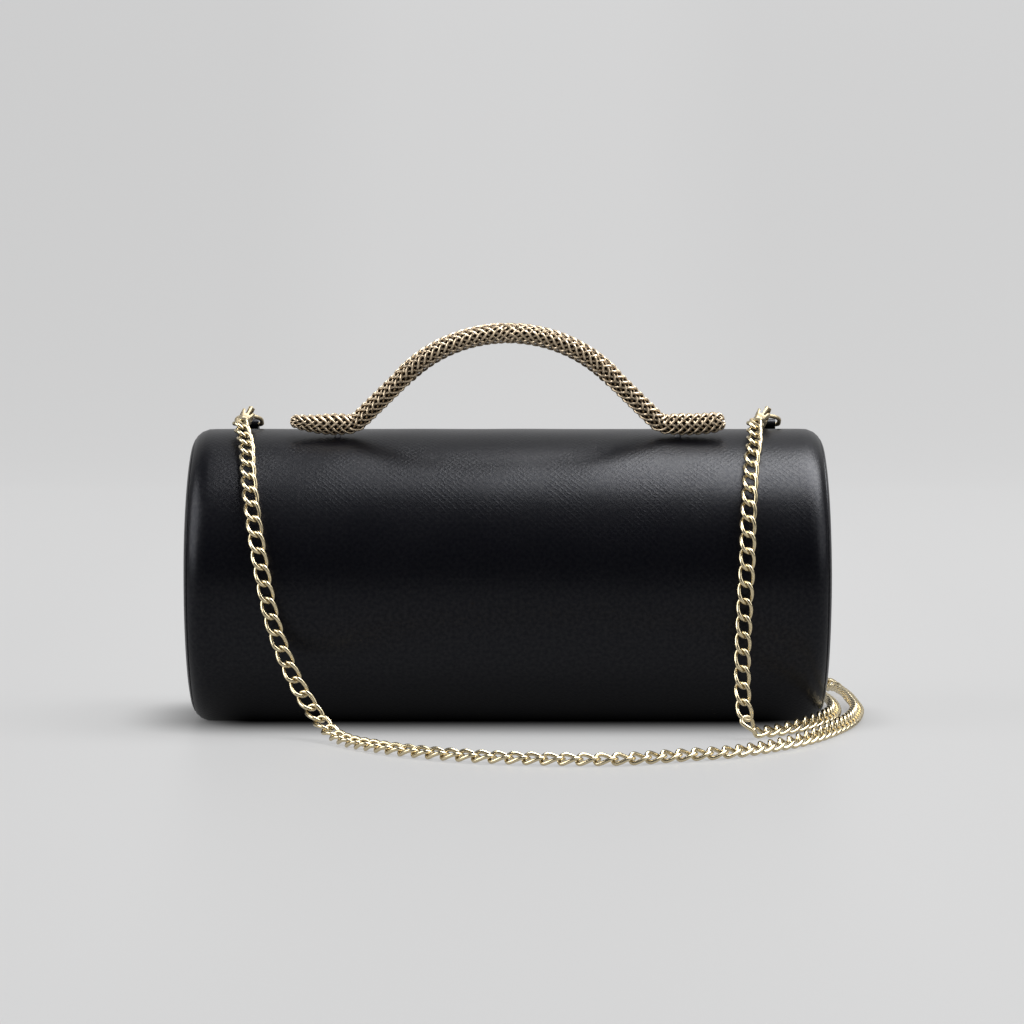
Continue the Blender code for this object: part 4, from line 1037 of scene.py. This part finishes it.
def wire_ring(name, path, up, radius, matrix, sides=16):
    """A closed round wire along a flat loop."""
    path = np.asarray(path, float)
    tangent = unit(np.roll(path, -1, axis=0) - np.roll(path, 1, axis=0))
    up = np.broadcast_to(np.asarray(up, float), path.shape)
    points, faces = tube(path, np.cross(tangent, up), up, radius, radius, sides, close=True)
    return mesh_piece(name, moved(points, matrix), faces)


def make_d_ring(side, word):
    """A D-ring and the leather tab folded round its bar."""
    matrix = surface_frame(side * TAB_X, TAB_ANGLE, 0)
    half = TAB_LEATHER / 2
    bar = (RING_BAR_FORWARD, GAP + TAB_LEATHER + GAP + RING_WIRE)
    loop = RING_WIRE + GAP + half
    lower = GAP + half
    upper = lower + TAB_LEATHER + GAP
    drop = bar[1] + loop - upper
    path = [(-TAB_LEG, lower), (-TAB_LEG / 2, lower), (bar[0] - loop, lower)]
    path += arc(bar, loop, -90, 100, 18)
    path += [(bar[0] - back * loop, upper + rise * drop) for back, rise in TAB_FOLD]
    path += [(-TAB_LEG / 2, upper), (-TAB_LEG, upper)]
    upright = matrix @ Matrix(((0, 0, -1, 0), (-1, 0, 0, 0), (0, 1, 0, 0), (0, 0, 0, 1)))
    tab = prism(word + "_tab_leather", strip_outline(path, half), -TAB_WIDTH / 2, TAB_WIDTH / 2,
                upright, bevel=0.0003)
    dress(tab, "leather", "root", word + "_tab")
    corner, wide = RING_CORNER, RING_HALF_WIDTH
    flat = [(x, 0) for x in np.linspace(-wide + corner, wide - corner, 9)]
    flat += arc((wide - corner, corner), corner, -90, 0, 5)[1:]
    flat += [(wide, y) for y in np.linspace(corner, RING_ARM, 5)[1:-1]]
    flat += arc((0, RING_ARM), wide, 0, 180, 28)
    flat += [(-wide, y) for y in np.linspace(RING_ARM, corner, 5)[1:-1]]
    flat += arc((-wide + corner, corner), corner, 180, 270, 5)[:-1]
    loop = [(x, y, 0) for x, y in flat]
    ring = wire_ring(word + "_ring", loop, (0, 0, 1), RING_WIRE, ring_frame(side))
    dress(ring, "gold", word + "_d_ring", word + "_d_ring")


def make_clasp(side, word):
    """A lobster clasp: its body, sprung lever and the jump ring in its eye."""
    matrix = clasp_frame(side)
    half = CLASP_THICKNESS / 2
    reach, inner, outer = CLASP_REACH, CLASP_INNER, CLASP_OUTER
    hook = (-HOOK_BACK, 0)
    outline = arc(hook, outer, 270, HOOK_TIP, 26)
    outline += arc(hook, inner, HOOK_TIP, 270, 20)
    outline += [(x * reach, y * inner) for x, y in CLASP_BACK]
    outline += arc((reach, 0), EYE_HOLE + EYE_WALL, 140, -140, 20)
    outline += [(0.70 * reach, -0.95 * inner), (0.27 * reach, -0.90 * outer)]
    body = prism(word + "_clasp_body", outline, -half, half, bevel=0.00022)
    room = LEVER_KNUCKLE + GAP
    slot = block(word + "_slot", (0.054 * reach, LEVER_PIVOT[1] - room, -LEVER_SLOT / 2),
                 (LEVER_PIVOT[0] + room, 2 * outer, LEVER_SLOT / 2))
    pin_hole = round_cutter(word + "_pin_hole", LEVER_PIVOT, PIN_HOLE, 20)
    cut(body, slot, pin_hole, round_cutter(word + "_eye", (reach, 0), EYE_HOLE, 28))
    for point in body.data.vertices:
        middle = (point.co.x / reach - CLASP_SWELL_MIDDLE) / CLASP_SWELL_HALF
        point.co.z *= 1 + CLASP_SWELL * float(ease(1 - abs(middle)))
    body.data.transform(matrix)
    dress(body, "gold", "root", word + "_clasp")
    tip = HOOK_PLAY - HOOK_BACK
    arm = [(tip, inner), (tip, outer)]
    arm += [(x * reach, y * outer) for x, y in LEVER_BACK]
    arm += [(0.35 * reach, 1.5 * inner), (0.46 * reach, 1.28 * inner)]
    arm += arc(LEVER_PIVOT, LEVER_KNUCKLE, 80, -110, 16)
    arm += [(0.43 * reach, 0.22 * inner), (0.27 * reach, 0.67 * inner)]
    half = LEVER_THICKNESS / 2
    lever = prism(word + "_clasp_lever", arm, -half, half, bevel=0.00015)
    cut(lever, round_cutter(word + "_hole", LEVER_PIVOT, PIN_HOLE, 20))
    lever.data.transform(matrix)
    dress(lever, "gold", word + "_lever", word + "_lever")
    turns = np.linspace(0, math.tau, 36, endpoint=False)
    loop = np.stack([JUMP_CENTRE - JUMP_RADIUS * np.cos(turns), 0 * turns,
                     JUMP_RADIUS * np.sin(turns)], axis=1)
    jump = wire_ring(word + "_jump_link", loop, (0, 1, 0), JUMP_WIRE, matrix, 12)
    dress(jump, "gold", "root", word + "_jump_ring")


# Materials

def add_node(tree, kind, inputs=None, **settings):
    """A shader node with its settings, and a value or a link for each input."""
    made = tree.nodes.new("ShaderNode" + kind)
    for key, value in settings.items():
        setattr(made, key, value)
    for key, value in (inputs or {}).items():
        if isinstance(value, bpy.types.NodeSocket):
            tree.links.new(value, made.inputs[key])
        else:
            made.inputs[key].default_value = value
    return made


def number(tree, operation, *values):
    """A number worked out from others."""
    return add_node(tree, "Math", dict(enumerate(values)), operation=operation).outputs[0]


def arrow(tree, operation, *values):
    """A vector node of one operation."""
    return add_node(tree, "VectorMath", dict(enumerate(values)), operation=operation)


def noise(tree, place, scale, detail):
    """Noise between 0 and 1."""
    inputs = {"Vector": place, "Scale": scale, "Detail": detail}
    return add_node(tree, "TexNoise", inputs).outputs["Fac"]


def ranged(tree, value, low, high, to_low=0.0, to_high=1.0, kind="LINEAR"):
    """A value moved from one range to another."""
    inputs = {"Value": value, "From Min": low, "From Max": high, "To Min": to_low,
              "To Max": to_high}
    return add_node(tree, "MapRange", inputs, interpolation_type=kind).outputs["Result"]


def mixed(tree, factor, first, second):
    """A colour between two."""
    inputs = {"Factor": factor, "A": (*first, 1), "B": (*second, 1)}
    return add_node(tree, "Mix", inputs, data_type="RGBA").outputs["Result"]


def bump(tree, height, strength, distance):
    """A normal from a height."""
    inputs = {"Height": height, "Strength": strength, "Distance": distance}
    return add_node(tree, "Bump", inputs).outputs["Normal"]


def start_finish(name, **sockets):
    """A material with its Principled shader's own values."""
    made = bpy.data.materials.new(name)
    made.use_nodes = True
    shader = made.node_tree.nodes["Principled BSDF"]
    for key, value in sockets.items():
        shader.inputs[key.replace("_", " ")].default_value = value
    return made, made.node_tree, shader


def feed(tree, shader, **sources):
    """Link sources to the shader's sockets."""
    for key, source in sources.items():
        tree.links.new(source, shader.inputs[key.replace("_", " ")])


def metal(name, colour, roughness):
    """Polished metal with fine handling marks."""
    made, tree, shader = start_finish(name, Metallic=1.0)
    place = add_node(tree, "TexCoord").outputs["Object"]
    marks = noise(tree, place, 900.0, 3.0)
    dark, light = [[min(1.0, value * share) for value in colour] for share in METAL_PATCHES]
    feed(tree, shader,
         Roughness=ranged(tree, marks, 0, 1, roughness - METAL_WEAR, roughness + METAL_WEAR),
         Base_Color=mixed(tree, noise(tree, place, 160.0, 2.0), dark, light),
         Normal=bump(tree, marks, 0.08, 0.0001))
    return made


def plain(name, colour, roughness, **sockets):
    """A matt finish with fine unevenness in colour and height."""
    made, tree, shader = start_finish(name, Roughness=roughness, **sockets)
    fine = noise(tree, add_node(tree, "TexCoord").outputs["Object"], 600.0, 5.0)
    dark, light = [[value * (1 + way * PLAIN_SPREAD) for value in colour] for way in (-1, 1)]
    feed(tree, shader, Base_Color=mixed(tree, fine, dark, light),
         Normal=bump(tree, fine, 0.5, 0.0001))
    return made


def leather_finish():
    """Coated black leather with a fine cross-hatched emboss along the grain map."""
    made, tree, shader = start_finish("leather", Specular_IOR_Level=0.245)
    grain = add_node(tree, "Attribute", attribute_name="grain").outputs["Vector"]
    bend = number(tree, "MULTIPLY", noise(tree, grain, 420.0, 2.0), HATCH_BEND)
    turn = math.tau / HATCH_PITCH / math.sqrt(2)
    ridges = []
    for way in (1, -1):
        slant = arrow(tree, "DOT_PRODUCT", grain, (turn, way * turn, 0)).outputs["Value"]
        wave = number(tree, "SINE", number(tree, "ADD", slant, bend))
        ridges.append(ranged(tree, wave, 0.1, 0.95))
    hatch = number(tree, "MAXIMUM", *ridges)
    depth = ranged(tree, noise(tree, grain, 75.0, 2.0), 0.38, 0.62, 0.15, 1.0)
    pores = noise(tree, grain, 3200.0, 3.0)
    height = number(tree, "MULTIPLY_ADD", hatch, depth, pores)
    flecks = ranged(tree, noise(tree, grain, 760.0, 2.0), 0.35, 0.65)
    feed(tree, shader, Normal=bump(tree, height, 0.45, 0.00005),
         Roughness=ranged(tree, noise(tree, grain, 38.0, 3.0), 0, 1, *LEATHER_ROUGHNESS),
         Base_Color=mixed(tree, hatch, *LEATHER_COLOURS),
         Specular_Tint=mixed(tree, flecks, *LEATHER_GLOSS))
    return made


def make_finishes():
    """Every finish by its short name."""
    return {
        "leather": leather_finish(),
        "gold": metal("gold", (0.40, 0.335, 0.22), 0.58),
        "chain": metal("chain", (0.60, 0.51, 0.33), 0.25),
        "braid": metal("braid", (0.53, 0.43, 0.305), 0.38),
        # under: near-black with little gloss, painted shade seen through the braid's gaps; core:
        # darkened as the same painted shade
        "under": plain("under", (0.010, 0.006, 0.003), 0.9, Specular_IOR_Level=0.1),
        "core": metal("core", (0.05, 0.038, 0.026), 0.6),
        "steel": metal("steel", (0.48, 0.48, 0.50), 0.34),
        "lining": plain("lining", (0.05, 0.045, 0.05), 0.8),
        "tape": plain("tape", (0.008, 0.008, 0.009), 0.75),
        "board": plain("board", (0.30, 0.24, 0.17), 0.9),
        "thread": plain("thread", (0.010, 0.010, 0.011), 0.55),
    }


def finish_nodes():
    """Finishes of the frame's own nodes that show as they are."""
    names = {"board": ["shell_board"], "core": ["handle_core"], "steel": []}
    for _, word in SIDES:
        names["board"] += [word + "_end_board", word + "_gusset_board"]
        names["steel"] += [word + "_handle_screw", word + "_handle_washer", word + "_lever_pin"]
    for kind, nodes in names.items():
        for name in nodes:
            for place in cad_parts[name].material_slots:
                place.material = FINISHES[kind]


# Stage and light

def make_stage():
    """Floor that curves up into a backdrop. It glows, a painted light that keeps shadows faint;
    round the bag's footprint the glow is held back, a painted shadow under the bag, and it is
    weaker towards the front.
    """
    turns = np.radians(np.linspace(0, 90, 19))
    profile = [(FLOOR_FRONT, 0.0), (BEND_START, 0.0)]
    profile += [(BEND_START + BEND_RADIUS * math.sin(a), BEND_RADIUS - BEND_RADIUS * math.cos(a))
                for a in turns[1:]]
    profile.append((BEND_START + BEND_RADIUS, BACKDROP_HEIGHT))
    points = [(x, y, z) for y, z in profile for x in (-FLOOR_HALF_WIDTH, FLOOR_HALF_WIDTH)]
    faces = [(2 * n, 2 * n + 1, 2 * n + 3, 2 * n + 2) for n in range(len(profile) - 1)]
    floor = mesh_piece("studio_floor", points, faces)
    made, tree, shader = start_finish("floor", Roughness=0.5, Specular_IOR_Level=0.15,
                                      Emission_Color=(1, 1, 1, 1))
    place = add_node(tree, "TexCoord").outputs["Object"]
    axes = add_node(tree, "SeparateXYZ", {"Vector": place}).outputs
    # Painted shade towards the sides and painted light far back, multiplied into the floor's colour
    sides = ranged(tree, number(tree, "ABSOLUTE", axes["X"]), 0.10, 0.20, 1.0, SIDE_PAINTED_SHADE)
    far = ranged(tree, axes["Y"], 0.3, 1.9, 1.0, FAR_PAINTED_LIGHT)
    painted_light_and_shade = number(tree, "MULTIPLY", sides, far)
    tint = add_node(tree, "VectorMath", {0: FLOOR_COLOUR, "Scale": painted_light_and_shade}, operation="SCALE")
    # Painted contact shadow: the glow is held back near the bag's footprint, and turned down
    # towards the front
    either_way = arrow(tree, "ABSOLUTE", place).outputs["Vector"]
    past = arrow(tree, "SUBTRACT", either_way, DARK_FOOTPRINT).outputs["Vector"]
    away = arrow(tree, "MAXIMUM", past, (0, 0, 0)).outputs["Vector"]
    from_bag = arrow(tree, "LENGTH", away).outputs["Value"]
    clear = ranged(tree, from_bag, *GLOW_REACH, kind="SMOOTHSTEP")
    near = ranged(tree, axes["Y"], -1.3, -0.55, *GLOW)
    feed(tree, shader, Base_Color=tint.outputs["Vector"],
         Emission_Strength=number(tree, "MULTIPLY", clear, near))
    floor.data.materials.append(made)


def area_light(name, place, aim, size, power):
    """A soft rectangular light that faces a point."""
    data = bpy.data.lights.new(name, "AREA")
    data.shape = "RECTANGLE"
    data.size, data.size_y = size
    data.energy = power
    made = bpy.data.objects.new(name, data)
    made.location = place
    made.rotation_euler = (Vector(aim) - Vector(place)).to_track_quat("-Z", "Y").to_euler()
    bpy.context.scene.collection.objects.link(made)


def make_light():
    """A large box over the bag, low ones at its sides, and one for the backdrop."""
    for name, light in LIGHTS.items():
        area_light(name, *light)
    world = bpy.data.worlds.new("room")
    world.use_nodes = True
    room = world.node_tree.nodes["Background"].inputs
    room["Color"].default_value = ROOM_COLOUR
    room["Strength"].default_value = ROOM_STRENGTH
    bpy.context.scene.world = world
    bpy.context.scene.view_settings.view_transform = "Standard"


FINISHES = make_finishes()
strap, strap_path, strap_length, strap_pieces = make_chain()
make_shell()
make_seam_backing()
make_mouth()
make_stitches()
make_teeth()
make_slider()
make_pull()
make_handle()
for side, word in SIDES:
    make_d_ring(side, word)
    make_clasp(side, word)
finish_nodes()
make_stage()
make_light()
tuple(chain_start(-1, 0))
